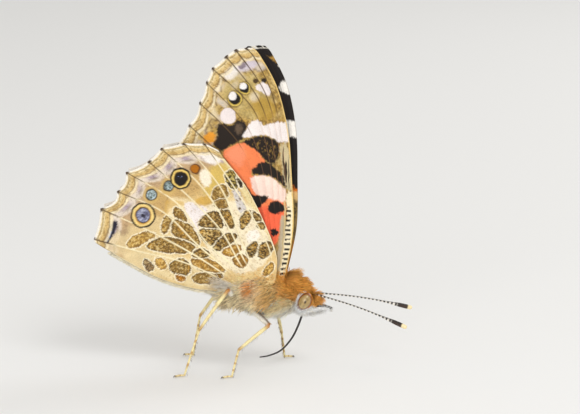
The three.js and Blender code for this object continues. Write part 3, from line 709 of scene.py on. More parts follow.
def hindUpper(wing, flat):
    p = Painter(wing, flat, "cb733a")
    p.patch("8a6440", [(500, 1000), (900, 800), (1100, 1200), (900, 1400), (300, 1300)], 40, 1, 0.9)
    for centre, radius in (((306, 979), 34), ((352, 867), 34), ((448, 820), 34), ((518, 777), 34)):
        p.spot("1a1413", centre, radius)
    p.marginBand("1a1413", -1, 0.9, 0.15, 1.0, 0.4)
    dots = np.exp(-((flat["share"] - 0.5) / 0.25) ** 2)
    p.lay("1a1413", smooth(0.5, 0.7, dots) * between(flat["margin"], 1.8, 2.75, 0.1, 0.15))
    p.veins("2a1d14", 0.07, 0.5, 0.5)
    p.marginBand("f2ece0", -1, 0.5, 0.08)
    return p.colours


for sideName, side in (("left", 1), ("right", -1)):
    swing = sheet["leftForewingSwing"] if sideName == "left" else 0.0
    wingPiece(f"forewing_{sideName}", forewing, side, swing, foreUnder, foreUpper)
    wingPiece(f"hindwing_{sideName}", hindwing, side, 0.0, hindUnder, hindUpper)
print("wings made")

# The body is one skin from tail to face, which the tufts of the coat are rooted in.
bodyForm = {
    "stations": [-14.6, -13.2, -10.5, -7, -5, -3.8, -2.6, -0.8, 1.2, 2.9, 3.9, 4.5, 5.1, 5.9, 6.6, 7.1, 7.45],
    "halfWidths": [0.0, 0.75, 1.25, 1.45, 1.5, 1.75, 2.15, 2.4, 2.3, 1.85, 1.55, 1.35, 1.4, 1.45,
                   1.3, 0.95, 0.0],
    "halfHeights": [0.0, 0.75, 1.25, 1.45, 1.55, 2.0, 2.55, 2.85, 2.75, 2.2, 1.75, 1.4, 1.35, 1.35,
                    1.2, 0.9, 0.0],
    "rises": [0, 0, 0, 0, 0, 0, 0, 0, 0, 0, 0.05, 0.15, 0.2, 0.22, 0.25, 0.3, 0.35],
    "rings": 150, "sides": 72, "blend": 0.24, "skinPaintedShade": 0.6,
}
base = np.array(bodyPlace(0, 0))
axes = np.array([bodyPlace(1, 0), bodyPlace(0, 1), bodyPlace(0, 0, 1)]) - base  # per millimetre
tailEnd, faceEnd = bodyForm["stations"][0], bodyForm["stations"][-1]


def profile(station, key):  # squares are blended, which rounds both ends
    stops = np.array(bodyForm[key], float)
    steps = np.array([-1, -0.5, 0, 0.5, 1]) * bodyForm["blend"]
    near = np.clip(np.asarray(station, float)[..., None] + steps, tailEnd, faceEnd)
    if key == "rises":
        return np.interp(near, bodyForm["stations"], stops).mean(axis=-1)
    ends = np.clip(np.minimum(station - tailEnd, faceEnd - station) / bodyForm["blend"], 0, 1)
    squares = np.interp(near, bodyForm["stations"], stops ** 2).mean(axis=-1)
    return np.sqrt(np.interp(station, bodyForm["stations"], stops ** 2) * (1 - ends) + squares * ends)


def skinPlace(station, turn):  # turn counts from the top towards the left
    w, h, rise = (profile(station, key) for key in ("halfWidths", "halfHeights", "rises"))
    pinch = 1 - 0.08 * smooth(5.0, 6.0, station) * np.abs(np.sin(turn))
    return base + np.stack([station, rise + h * np.cos(turn), w * pinch * np.sin(turn)], axis=-1) @ axes


def unit(vectors):
    return vectors / np.maximum(np.linalg.norm(vectors, axis=-1, keepdims=True), 1e-12)


def onSurface(out, lie):  # a lie without the part that points straight out
    return unit(lie - out * np.sum(lie * out, axis=1, keepdims=True))


def skinFrame(station, turn):  # a place on the skin, straight out of it, towards the tail and round it
    spot = skinPlace(station, turn)
    ahead, behind = (skinPlace(np.clip(station + step, tailEnd, faceEnd), turn) for step in (0.04, -0.04))
    forwards = unit(ahead - behind)
    roundIt = unit(skinPlace(station, turn + 0.01) - skinPlace(station, turn - 0.01))
    out = unit(np.cross(roundIt, forwards))
    centre = base + np.stack([station, profile(station, "rises"), station * 0], axis=-1) @ axes
    out *= np.sign(np.sum(out * (spot - centre), axis=-1, keepdims=True) + 1e-12)
    return spot, out, -forwards, roundIt


# The same tones colour the skin and the tufts that stand on it.
def bodyTone(station, turn, places):
    below = np.abs((turn + np.pi) % (2 * np.pi) - np.pi)
    fine = grain(places, 1600, 5.0)
    broad = grain(places, 500, 17.0)
    colours = tiled("e2b068", len(places))
    colours = mixTone(colours, "b0813f", smooth(0.0, 0.5, broad) * 0.5)
    colours = mixTone(colours, "f8deac", smooth(0.8, 1.3, below + broad * 0.4))
    colours = mixTone(colours, "fffaf0", smooth(1.5, 2.1, below + broad * 0.3) * 0.9)
    rear = smooth(1.4, 3.2, -station) * smooth(1.2, 1.8, below)
    colours = mixTone(colours, "e9e3d8", rear)
    front = smooth(0.9, 3.0, station + 0.5 * broad) * fade(1.3, 1.9, below + 0.4 * fine)
    colours = mixTone(colours, "e4a04a", front * 0.85)
    # the abdomen is brown above with paler hind edges to its rings, and buff below
    belly = smooth(3.6, 4.6, -station)
    rings = 0.5 + 0.5 * np.cos(2 * np.pi * (station + 4.2) / 1.28)
    segment = mixTone(tiled("7c5634", len(places)), "b4905c", smooth(0.7, 0.98, rings))
    segment = mixTone(segment, "d9c49b", smooth(1.2, 1.9, below + broad * 0.2))
    colours = colours * (1 - belly[:, None]) + segment * belly[:, None]
    # the head is orange above and white below the eye, with a white line behind it
    head = smooth(4.5, 5.0, station)
    face = mixTone(tiled("e4a454", len(places)), "bb7a30", smooth(0.0, 0.5, broad) * 0.6)
    face = mixTone(face, "fffdf8", smooth(1.75, 2.05, below + 0.12 * (station - 6)))
    line = np.exp(-((station - 5.15 + 0.35 * (below - 1.3)) / 0.22) ** 2) * smooth(0.75, 1.0, below)
    face = mixTone(face, "fffdf8", np.clip(line * 1.6, 0, 1))
    colours = colours * (1 - head[:, None]) + face * head[:, None]
    return colours * (1 + 0.18 * fine[:, None])


# A closed round form whose rings run along a line. place() takes the share along it and the turn round it.
def roundForm(name, rings, sides, place):
    form = bmesh.new()
    bmesh.ops.create_uvsphere(form, u_segments=sides, v_segments=rings, radius=1)
    spots = np.array([v.co for v in form.verts])
    share = np.arccos(np.clip(spots[:, 2], -1, 1)) / np.pi
    turn = np.arctan2(spots[:, 0], spots[:, 1])
    places = place(share, turn)
    for v, spot in zip(form.verts, places):
        v.co = spot
    bmesh.ops.recalc_face_normals(form, faces=form.faces[:])
    mesh = bpy.data.meshes.new(name)
    form.to_mesh(mesh)
    form.free()
    return mesh, share, turn, places


def stationOf(share):  # rings lie closer at the tail and at the face
    return tailEnd + (faceEnd - tailEnd) * (share - 0.05 * np.sin(2 * np.pi * share))


# The skin's tones are multiplied down here, as painted shade in the gaps between the tufts of the coat.
skinMesh, share, turn, places = roundForm(
    "bodySkin", bodyForm["rings"], bodyForm["sides"], lambda s, t: skinPlace(stationOf(s), t))
finishPiece("bodySkin", skinMesh, bodyTone(stationOf(share), turn, places) * bodyForm["skinPaintedShade"],
            furFinish, ["thorax", "head", "abdomen"])

# Tufts are slim closed blades with a sunk root, bent along the lie of the coat.
blade = {
    "stops": [0.0, 0.4, 0.75], "widths": [0.7, 1.0, 0.62], "rootShadeTipLight": [0.72, 0.95, 1.05, 1.15],  # root to tip; the tone is painted shade at the root and painted light at the tip
    "flat": 0.4, "sunk": 0.05, "floor": 0.01, "bend": 1.75,
}


def growTufts(name, root, out, lie, length, width, lift, colours, patch, slot):
    count = len(root)
    across = unit(np.cross(out, lie))
    length = (length * mm)[:, None]
    width = (width * mm)[:, None]
    lift = lift[:, None]
    start = root - out * blade["sunk"] * mm
    flatLie = lie * np.sqrt(1 - 0.5 * lift ** 2)
    corners = []
    for stop, wide in zip(blade["stops"], blade["widths"]):
        middle = start + (flatLie * stop + out * lift * math.sin(stop * blade["bend"])) * length
        for spoke in (90, 210, 330):
            a = math.radians(spoke)
            way = across * math.cos(a) + out * math.sin(a) * blade["flat"]
            corners.append(middle + way * width * wide / 2)
    corners.append(start + (flatLie + out * lift * math.sin(blade["bend"])) * length)
    corners = np.stack(corners, axis=1)
    corners[:, :, 2] = np.maximum(corners[:, :, 2], blade["floor"] * mm)
    faces = [(0, 2, 1)]
    for ring in (0, 3):
        for j in range(3):
            a, b = ring + j, ring + (j + 1) % 3
            faces += [(a, b, b + 3), (a, b + 3, a + 3)]
    faces += [(6 + j, 6 + (j + 1) % 3, 9) for j in range(3)]
    faces = np.array(faces)
    each = corners.shape[1]
    loops = (faces[None] + (np.arange(count) * each)[:, None, None]).reshape(-1)
    mesh = bpy.data.meshes.new(name)
    mesh.vertices.add(count * each)
    mesh.vertices.foreach_set("co", corners.reshape(-1))
    mesh.loops.add(len(loops))
    mesh.loops.foreach_set("vertex_index", loops.astype(np.int32))
    mesh.polygons.add(len(loops) // 3)
    mesh.polygons.foreach_set("loop_start", np.arange(0, len(loops), 3, dtype=np.int32))
    mesh.update(calc_edges=True)
    mesh.validate()
    unwrap = mesh.uv_layers.new(name="OFBake")
    spread = np.array([((k % 3 - 1) * 0.001, (k // 3 - 1.2) * 0.001) for k in range(each)])
    spots = (patch[:, None, :] + spread[None]).reshape(-1, 2)[loops]
    unwrap.data.foreach_set("uv", spots.reshape(-1).astype(np.float32))
    # each blade is painted darker at its root and lighter at its tip, as painted shade and painted light
    along = np.repeat(blade["rootShadeTipLight"], [3, 3, 3, 1])
    tones = (colours[:, None, :] * along[None, :, None]).reshape(-1, 3)
    print("tufts", name, count)
    finishPiece(name, mesh, tones, furFinish, [])


dice = np.random.default_rng(42)
eyeForm = {"forward": 6.95, "up": 9.62, "left": 1.58, "half": [0.86, 1.2, 0.88], "tilt": 28, "scales": 1500}
eyeSpots = [  # along, up, size and strength of the dark spots on the eye
    (0.1, 0.06, 0.13, 0.95), (-0.32, -0.1, 0.06, 0.4), (0.3, 0.42, 0.07, 0.5),
    (-0.42, -0.42, 0.07, 0.4), (0.02, 0.5, 0.05, 0.35), (0.12, -0.45, 0.05, 0.3),
]


def eyeCentre(side):
    return np.array(at(eyeForm["forward"], eyeForm["up"], side * eyeForm["left"]))


def eyeTilted(a, b):  # millimetres along and up the eye, turned as it sits in the head
    lean = math.radians(eyeForm["tilt"])
    return a * math.cos(lean) + b * math.sin(lean), -a * math.sin(lean) + b * math.cos(lean)


# Each coat: where its tufts are rooted, in stations and degrees from the top, and how they lie.
coats = {
    "thoraxCoat": {"count": 9500, "stations": [-4.4, 4.3], "turns": [0, 125], "length": 1.25, "width": 0.12,
                   "lift": 0.5, "down": 0.35},
    "breastCoat": {"count": 7500, "stations": [-4.2, 4.3], "turns": [105, 180], "length": 1.45, "width": 0.1,
                   "lift": 0.55, "down": -0.1},
    "rearBeard": {"count": 2600, "stations": [-5.2, -2.0], "turns": [95, 180], "length": 2.4, "width": 0.09,
                  "lift": 0.6, "down": 0.1},
    "neckCoat": {"count": 6200, "stations": [1.9, 6.1], "turns": [0, 75], "length": 1.25, "width": 0.075,
                 "lift": 0.7, "down": 0.3},
    "headCoat": {"count": 9000, "stations": [4.4, 7.42], "turns": [0, 180], "length": 0.42, "width": 0.055,
                 "lift": 0.6, "down": 0.25},
    "abdomenCoat": {"count": 8500, "stations": [-14.5, -3.9], "turns": [0, 180], "length": 0.62, "width": 0.12,
                    "lift": 0.16, "down": 0.0},
}


coatSpread = {  # what all the coats share
    "scatter": 0.22, "eyeSlack": 1.45, "headEyeSlack": 1.2, "liftRange": [0.05, 0.9],
    "warmth": [1.1, 1.06, 0.98],
}


def clearOfEyes(places, slack):
    keep = np.ones(len(places), bool)
    for side in (1, -1):
        away = (places - eyeCentre(side)) / mm / np.array(eyeForm["half"])[[2, 0, 1]]
        keep &= np.linalg.norm(away, axis=1) > slack
    return keep


def coatRoots(coat):
    count = coat["count"]
    low, high = coat["stations"]
    station = low + (high - low) * dice.random(count * 4)
    size = profile(station, "halfWidths") / 2.6
    station = station[dice.random(len(station)) < np.clip(size, 0.15, 1)][:count]
    degrees = coat["turns"][0] + (coat["turns"][1] - coat["turns"][0]) * dice.random(len(station))
    turn = np.radians(degrees) * np.where(dice.random(len(station)) < 0.5, 1, -1)
    return station, turn


def patchOf(station, turn):  # a place on the unwrap of the skin
    u = 0.5 + ((turn + np.pi) % (2 * np.pi) - np.pi) / (2 * np.pi)
    v = (station - tailEnd) / (faceEnd - tailEnd)
    return np.clip(np.stack([u, v], axis=1), 0.004, 0.996)


for name, coat in coats.items():
    station, turn = coatRoots(coat)
    spot, out, back, roundIt = skinFrame(station, turn)
    slack = coatSpread["headEyeSlack" if name == "headCoat" else "eyeSlack"]
    keep = clearOfEyes(spot + back * 0.25 * mm, slack)
    station, turn, spot, out, back, roundIt = (v[keep] for v in (station, turn, spot, out, back, roundIt))
    down = roundIt * np.sign(np.sin(turn))[:, None] * coat["down"]
    lie = back + down + coatSpread["scatter"] * dice.standard_normal(spot.shape)
    length = coat["length"] * (0.75 + 0.5 * dice.random(len(spot)))
    lift = np.clip(coat["lift"] * (0.6 + 0.8 * dice.random(len(spot))), *coatSpread["liftRange"])
    width = coat["width"] * (0.7 + 0.6 * dice.random(len(spot)))
    if name == "thoraxCoat":  # the collar and the brow of the thorax stand up and lean forwards
        collar = smooth(2.2, 3.4, station) * fade(0.7, 1.2, np.abs(turn))
        lie = lie * (1 - 1.9 * collar)[:, None]
        lift, length = lift + 0.35 * collar, length * (1 + 0.4 * collar)
    if name == "neckCoat":
        ridge = fade(0.5, 0.9, np.abs(turn))
        mane = ridge * fade(1.9, 3.4, station)
        lie = lie - back * 1.9 * ridge[:, None]
        length, lift = length * (0.9 + 0.8 * mane - 0.2 * smooth(4.8, 5.6, station)), lift + 0.2 * mane
    if name == "headCoat":  # the face's hair points forwards and down, and stands highest on the crown
        face = smooth(5.9, 6.9, station)
        floorwards = np.array([0, 0, -1.0])
        lie = lie * (1 - 1.6 * face)[:, None] + floorwards * 0.5 * face[:, None]
        crown = fade(0.5, 1.2, np.abs(turn))
        beard = smooth(2.0, 2.6, np.abs(turn))
        length = length * (1 + (0.7 + 0.5 * smooth(5.4, 6.2, station)) * crown + 1.1 * beard)
        lift = np.clip(lift + 0.25 * crown + 0.1 * beard, *coatSpread["liftRange"])
    lie = onSurface(out, lie)
    tuft = 1 + 0.5 * grain(spot, 1300, 3.0) + 0.22 * dice.standard_normal(len(spot))
    colours = bodyTone(station, turn, spot) * np.clip(tuft, 0.4, 1.3)[:, None]
    colours = colours * np.array(coatSpread["warmth"])
    if name == "rearBeard":
        colours = mixTone(colours, "d8d2c8", np.full(len(spot), 0.6))
    lift = np.clip(lift, *coatSpread["liftRange"])
    growTufts(name, spot, out, lie, length, width, lift, colours, patchOf(station, turn),
              "abdomen" if name == "abdomenCoat" else "body_fur")

# Hairs on the wings: long fur over the hindwing's base, and a soft hem along its inner edge.
wingFur = {
    "base": {"count": 2600, "low": (-3.6, 9.6), "high": (3.4, 13.4), "length": 1.9, "width": 0.1, "lift": 0.3},
    "hem": {"count": 1500, "length": 0.55, "width": 0.05, "lift": 0.1},
}


def baseFur(side):
    fur = wingFur["base"]
    share = dice.random((fur["count"], 2)) ** np.array([1.0, 1.3])
    low, high = np.array(fur["low"]), np.array(fur["high"])
    plane = low + (high - low) * share
    edge = 12.4 - 0.12 * (plane[:, 0] - 3.0) ** 2 / 3  # the fur thins out up the wing
    frayed = plane[:, 0] + 0.6 * dice.standard_normal(len(plane))
    thin = smooth(-0.6, 1.2, plane[:, 1] - edge) + smooth(1.4, 3.2, frayed)
    plane = plane[dice.random(len(plane)) < 1 - thin]
    beyond = standOut(hindwing, plane) + sheet["halfThick"] + 0.03
    out = np.tile(np.array([side, 0.0, 0.0]), (len(plane), 1))
    root = np.array([at(f, u, side * x) for (f, u), x in zip(plane, beyond)])
    lie = unit(np.array([0, 0.8, -0.5]) + 0.25 * dice.standard_normal(root.shape) * np.array([0, 1, 1]))
    orangeSpot = np.exp(-((plane[:, 0] - 0.5) / 0.65) ** 2 - ((plane[:, 1] - 11.8) / 1.0) ** 2)
    colours = mixTone(tiled("f8e2b8", len(root)), "e8923a", orangeSpot)
    colours = mixTone(colours, "e2b062", smooth(0.8, 2.4, plane[:, 0]) * 0.85)
    tuft = 0.95 + 0.25 * dice.standard_normal(len(root)) + 0.3 * grain(root, 1200, 6.0)
    basePatch = patchOf(np.clip(plane[:, 0] - 2, -5, 3), np.full(len(root), side * 1.2))
    length = fur["length"] * (0.6 + 0.6 * dice.random(len(root)))
    lift = fur["lift"] * (0.5 + dice.random(len(root)))
    return (root, out, lie, length, np.full(len(root), fur["width"]), lift,
            colours * np.clip(tuft, 0.45, 1.12)[:, None], basePatch)


def hemFur(side):
    fur = wingFur["hem"]
    line, _ = splinePoints([(-2.4, 10.9), *hindwing["veins"][-1]], 400)
    run = 20 + (dice.random(fur["count"]) ** 0.8 * 330).astype(int)
    plane = line[run]
    way = unit(line[run + 1] - line[run - 1])
    root = np.array([at(f, u, side * x) for (f, u), x in zip(plane, standOut(hindwing, plane))])
    root[:, 0] += (dice.random(len(root)) - 0.5) * 0.1 * mm
    off = np.stack([-way[:, 1], way[:, 0]], axis=1)
    off *= np.sign(-off[:, 1])[:, None]
    flow = unit(off * 0.8 + way * 0.9)
    lie = np.stack([np.zeros(len(root)), -flow[:, 0], flow[:, 1]], axis=1)
    lie = lie + 0.1 * dice.standard_normal(root.shape)
    out = np.tile(np.array([side, 0.0, 0.0]), (len(root), 1))
    lie = onSurface(out, lie)
    tones = tiled("efe3c6", len(root)) * (1 + 0.15 * dice.standard_normal(len(root)))[:, None]
    length = fur["length"] * (0.6 + 0.8 * dice.random(len(root)))
    patch = patchOf(np.full(len(root), -8.0), np.full(len(root), side * 2.0))
    return (root, out, lie, length, np.full(len(root), fur["width"]), np.full(len(root), fur["lift"]),
            tones, patch)


def growAll(name, parts, slot):
    growTufts(name, *(np.concatenate(columns) for columns in zip(*parts)), slot)


growAll("hindwing_leftHairs", [baseFur(1), hemFur(1)], "hindwing")
growAll("hindwing_rightHairs", [baseFur(-1), hemFur(-1)], "hindwing")


# Short scales ring each eye: white behind and below it, orange in front.
def growEyeRing(name, side):
    count = eyeForm["scales"]
    turn = dice.random(count) * 2 * np.pi
    rearwards = smooth(-0.1, 0.3, -np.cos(turn - 0.4))
    reach = 1.0 + (0.1 + 0.3 * rearwards) * dice.random(count) ** 1.2
    a, b = np.cos(turn) * reach * eyeForm["half"][0], np.sin(turn) * reach * eyeForm["half"][1]
    forwards, upwards = eyeTilted(a, b)
    depth = 0.05 - 0.6 * (reach - 1.0)
    root = eyeCentre(side) + np.stack([side * depth, -forwards, upwards], axis=1) * mm
    out = unit(np.stack([np.full(count, side * 1.0), -forwards * 0.35, upwards * 0.35], axis=1))
    lie = np.stack([np.zeros(count), np.abs(np.sin(turn)) * 0.6 + 0.3, -np.ones(count)], axis=1)
    lie = lie + 0.15 * dice.standard_normal(lie.shape)
    lie = onSurface(out, lie)
    behind = np.clip(rearwards * 1.3 + smooth(0.3, 0.7, -np.sin(turn)), 0, 1)
    colours = mixTone(tiled("d98d38", count), "ffffff", behind)
    colours = mixTone(colours, "8a4a1a", fade(1.01, 1.05, reach) * 0.6)
    colours = colours * (1 + 0.1 * dice.standard_normal(count))[:, None]
    length = (0.13 + 0.22 * rearwards) * (0.7 + 0.6 * dice.random(count))
    patch = patchOf(5.9 + forwards * 0.8, side * (1.5 - upwards * 0.5))
    growTufts(name, root, out, lie, length, np.full(count, 0.05), np.full(count, 0.25), colours,
              patch, "body_fur")


growEyeRing("eyeRing_left", 1)
growEyeRing("eyeRing_right", -1)


def makeEye(side, name):
    def place(share, turn):
        a = np.sin(share * np.pi) * np.cos(turn) * eyeForm["half"][0]
        b = np.cos(share * np.pi) * eyeForm["half"][1]
        c = np.sin(share * np.pi) * np.sin(turn) * eyeForm["half"][2]
        forwards, upwards = eyeTilted(a, b)
        return eyeCentre(side) + np.stack([c, -forwards, upwards], axis=1) * mm

    mesh, share, turn, places = roundForm(name, 64, 64, place)
    a = np.sin(share * np.pi) * np.cos(turn)
    b = np.cos(share * np.pi)
    rim = np.hypot(a, b)
    broad = grain(places, 1400, 2.0)
    colours = tiled("b3945a", len(places))
    colours = mixTone(colours, "c4b07c", smooth(-0.1, 0.7, -b + 0.4 * broad) * 0.7)
    colours = mixTone(colours, "8d7a4e", smooth(0.1, 0.5, np.sin(a * 9 + broad * 2)) * 0.45)
    for x, y, size, strength in eyeSpots:
        away = np.hypot(a - x, (b - y) * 0.8)
        colours = mixTone(colours, "2c160c", fade(size * 0.6, size * 1.5, away) * strength)
    colours = mixTone(colours, "8a4a12", smooth(0.76, 0.9, rim))
    colours = mixTone(colours, "5c300e", smooth(0.96, 1.0, rim) * 0.5)
    finishPiece(name, mesh, colours, eyeFinish, [name])


# Feelers, palps, tongue and legs are tubes along a line.
def tubePlaces(stops, radii, share, turn, flatten=1.0):
    line, length = splinePoints(stops, 120)
    ahead = unit(np.gradient(line, axis=0))
    run = np.clip(share, 0, 1) * (len(line) - 1)
    centre = np.stack([np.interp(run, np.arange(len(line)), line[:, k]) for k in range(3)], axis=1)
    facing = unit(np.stack([np.interp(run, np.arange(len(line)), ahead[:, k]) for k in range(3)], axis=1))
    reach = np.linspace(0, 1, len(radii))
    radius = np.sqrt(np.interp(share, reach, np.array(radii, float) ** 2))
    cap = np.clip(np.minimum(share, 1 - share) * length / np.maximum(radius, 1e-6), 0, 1)
    radius = radius * np.sqrt(np.maximum(1 - (1 - cap) ** 2, 0))
    sideways = unit(np.cross(facing, np.array([0.02, 0.05, 1.0])))
    over = unit(np.cross(sideways, facing))
    out = sideways * np.sin(turn)[:, None] + over * np.cos(turn)[:, None]
    spot = centre + sideways * (np.sin(turn) * radius * flatten)[:, None]
    return spot + over * (np.cos(turn) * radius)[:, None], out, facing


def tubePiece(name, stops, radii, rings, sides, tones, finish, flatten=1.0):
    ends = [np.array(at(*stop)) for stop in stops]
    scaled = np.array(radii) * mm
    mesh, share, turn, places = roundForm(
        name, rings, sides, lambda s, t: tubePlaces(ends, scaled, s, t, flatten)[0])
    finishPiece(name, mesh, tones(share, turn, places), finish, [name])


def tubeTufts(stops, radii, count, shares, turns, length, width, lift, tones, centre, flatten=1.0):
    ends = [np.array(at(*stop)) for stop in stops]
    share = shares[0] + (shares[1] - shares[0]) * dice.random(count)
    turn = np.radians(turns[0] + (turns[1] - turns[0]) * dice.random(count))
    spot, out, facing = tubePlaces(ends, np.array(radii) * mm, share, turn, flatten)
    lie = facing + 0.15 * dice.standard_normal(spot.shape)
    lie = onSurface(out, lie)
    spread = 0.7 + 0.6 * dice.random(count)
    colours = tones(share, turn, spot) * (0.7 + 0.6 * dice.random(count))[:, None]
    patch = patchOf(np.full(count, centre) + share, turn)
    return (spot, out, lie, length * spread, width * spread, np.clip(lift * spread, 0.03, 0.9), colours, patch)


antennaForm = {
    "root": (8.3, 10.3, 0.5), "tip": (20.7, 7.3, 6.1), "bow": 0.35,
    "radii": [0.16, 0.12, 0.1, 0.1, 0.1, 0.1, 0.1, 0.1, 0.1, 0.1, 0.11, 0.13, 0.2, 0.28, 0.3, 0.27],
    "bands": 25, "flatten": 0.9,
}
tongueForm = {
    "stops": [(6.6, 7.9, 0), (5.9, 5.9, 0), (5.0, 4.1, 0), (3.6, 2.5, 0), (2.0, 1.75, 0), (0.7, 1.5, 0)],
    "radii": [0.15, 0.14, 0.13, 0.12, 0.11, 0.08],
}
palpForm = {
    "stops": [(6.6, 8.1, 0.6), (7.6, 8.2, 0.62), (8.7, 8.42, 0.55), (9.6, 8.42, 0.48), (10.35, 8.2, 0.42)],
    "radii": [0.3, 0.36, 0.32, 0.2, 0.1], "flatten": 0.75,
}
legForms = {
    "midleg_right": [(-0.6, 8.8, 1.7), (2.4, 6.7, 3.6), (-1.5, 3.6, 5.0), (-2.3, 0.24, 6.0), (-3.5, 0.17, 6.4)],
    "midleg_left": [(-0.6, 8.8, 1.7), (2.6, 7.6, 3.8), (3.2, 3.7, 5.3), (3.5, 0.24, 6.1), (4.6, 0.17, 6.5)],
    "hindleg_right": [(-1.9, 9.2, 1.7), (-3.0, 11.4, 4.0), (-6.7, 6.2, 5.1), (-8.6, 0.24, 6.0),
                      (-9.8, 0.17, 6.4)],
    "hindleg_left": [(-1.9, 9.2, 1.7), (-4.4, 10.6, 4.0), (-7.8, 5.9, 5.0), (-8.9, 0.24, 5.9),
                     (-10.1, 0.17, 6.3)],
}
legParts = {  # the foot has four short joints, each a little wider at its end
    "thigh": {"radii": [0.3, 0.4, 0.42, 0.38, 0.26], "rings": 30, "hairs": 420, "length": 0.34, "width": 0.055},
    "shin": {"radii": [0.24, 0.25, 0.23, 0.21, 0.19], "rings": 30, "hairs": 380, "length": 0.2, "width": 0.035},
    "foot": {"radii": [0.17, 0.13, 0.16, 0.13, 0.155, 0.125, 0.15, 0.12, 0.14], "rings": 60, "hairs": 300,
             "length": 0.2, "width": 0.035},
    "toe": {"radii": [0.13, 0.12, 0.13, 0.1], "rings": 24, "hairs": 90, "length": 0.2, "width": 0.035},
}
legLook = {
    "cream": "f0dfa4", "knee": "b5762c", "white": "efe8da", "stripe": "5b4226", "joint": "b98742",
    "spine": "5a3a1e", "claw": "3a2414", "spines": 46, "sides": 18,
}
claw = {"radii": [0.05, 0.045, 0.015], "back": 0.08, "reach": 0.22, "apart": 0.12, "bow": 0.12,
        "tipHeight": 0.05}
forelegForm = {"stops": [(5.3, 9.5, 1.9), (4.6, 9.3, 2.45), (3.4, 8.8, 2.6), (2.1, 8.15, 2.6)],
               "radii": [0.24, 0.28, 0.25, 0.12]}


def antennaTones(share, turn, places):
    dark = tiled("241a14", len(places))
    band = 0.5 + 0.5 * np.cos(2 * np.pi * share * antennaForm["bands"])
    shaft = fade(0.82, 0.85, share)
    below = smooth(-0.9, 0.2, -np.cos(turn))
    dark = mixTone(dark, "f2ece0", smooth(0.35, 0.6, band) * shaft * (0.35 + 0.65 * below))
    dark = mixTone(dark, "4a3020", smooth(0.84, 0.88, share) * below * 0.5)
    return mixTone(dark, "f6e2b0", smooth(0.94, 0.955, share))


def palpTones(share, turn, places):
    white = tiled("fffdf8", len(places))
    white = mixTone(white, "e6ddd0", smooth(0.1, 0.5, grain(places, 2500, 8.0)) * 0.5)
    white = mixTone(white, "b87c36", fade(0.5, 0.9, np.abs(turn)) * fade(0.4, 0.6, share))
    return mixTone(white, "1c1614", fade(0.6, 0.9, np.abs(turn)) * smooth(0.35, 0.5, share) * 0.9)


def forelegTones(share, turn, places):
    tan = tiled("efd6a4", len(places))
    tan = mixTone(tan, "d08a3c", smooth(-0.1, 0.4, grain(places, 1100, 12.0)) * fade(0.3, 0.7, share) * 0.7)
    return mixTone(tan, "f8efdc", smooth(0.0, 0.7, -np.cos(turn)) * 0.6)


def tongueTones(share, turn, places):
    return mixTone(tiled("1d1512", len(places)), "5e4226", smooth(0.2, 0.8, np.sin(turn)) * 0.4)


def legTones(kind):
    def tones(share, turn, places):
        pale = tiled(legLook["white" if kind == "thigh" else "cream"], len(places))
        pale = mixTone(pale, "cdb27c", smooth(0.0, 0.5, grain(places, 1500, 31.0)) * 0.5)
        if kind == "thigh":
            stripe = np.exp(-((turn - 0.3) / 0.5) ** 2) * smooth(0.15, 0.3, share)
            pale = mixTone(pale, legLook["stripe"], np.clip(stripe * 1.3, 0, 1) * 0.8)
            return mixTone(pale, legLook["knee"], smooth(0.86, 0.97, share))
        if kind == "shin":
            pale = mixTone(pale, legLook["knee"], fade(0.05, 0.18, share) * 0.9)
            return mixTone(pale, legLook["joint"], smooth(0.8, 0.95, share) * 0.7)
        joints = 0.5 + 0.5 * np.cos(2 * np.pi * share * (4 if kind == "foot" else 2))
        pale = mixTone(pale, legLook["joint"], smooth(0.75, 0.95, joints) * 0.8)
        return mixTone(pale, "6a4522", smooth(0.8, 1.0, share) * (kind == "toe"))
    return tones


def mergeLeg(name, meshes, colours):
    whole = bmesh.new()
    for mesh in meshes:
        whole.from_mesh(mesh)
    merged = bpy.data.meshes.new(name)
    whole.to_mesh(merged)
    whole.free()
    finishPiece(name, merged, np.vstack(colours), hornFinish, [name])


def makeLeg(name, stops, side):
    places = [np.array(stop) for stop in sided(stops, side)]
    meshes, colours, tufts = [], [], []
    for (kind, part), begin, finish in zip(legParts.items(), places, places[1:]):
        way = unit(finish - begin)
        start, end = begin - way * 0.1, finish + way * (0.12 if kind != "toe" else 0)
        line = [start, (start + end) / 2 + np.array([0, 0.06, 0]), end]
        ends = [np.array(at(*p)) for p in line]
        scaled = np.array(part["radii"]) * mm
        mesh, share, turn, spots = roundForm(
            name + kind, part["rings"], legLook["sides"], lambda s, t: tubePlaces(ends, scaled, s, t)[0])
        meshes.append(mesh)
        colours.append(legTones(kind)(share, turn, spots))
        tufts.append(tubeTufts(line, part["radii"], part["hairs"], (0.03, 0.97), (0, 360), part["length"],
                               part["width"], 0.22, legTones(kind), -2.0))
        if kind in ("shin", "foot"):  # two rows of dark spines
            tufts.append(tubeTufts(line, part["radii"], legLook["spines"], (0.1, 0.97), (150, 215), 0.34, 0.035,
                                   0.75, lambda s, t, p: tiled(legLook["spine"], len(p)), -2.0))
    toe = places[4]
    heading = unit(toe - places[3])
    for apart in (-claw["apart"], claw["apart"]):
        root = toe - heading * claw["back"]
        tip = toe + heading * claw["reach"] + np.array([0, 0.0, apart])
        tip[1] = claw["tipHeight"]
        hook = (root + tip) / 2 + np.array([0, claw["bow"], apart * 0.6])
        ends = [np.array(at(*p)) for p in (root, hook, tip)]
        scaled = np.array(claw["radii"]) * mm
        mesh, share, turn, spots = roundForm(
            name + "claw", 10, 8, lambda s, t: tubePlaces(ends, scaled, s, t)[0])
        meshes.append(mesh)
        colours.append(tiled(legLook["claw"], len(spots)))
    mergeLeg(name, meshes, colours)
    growAll(name + "Hairs", tufts, "leg")


def sided(stops, side):
    return [(f, u, side * x) for f, u, x in stops]


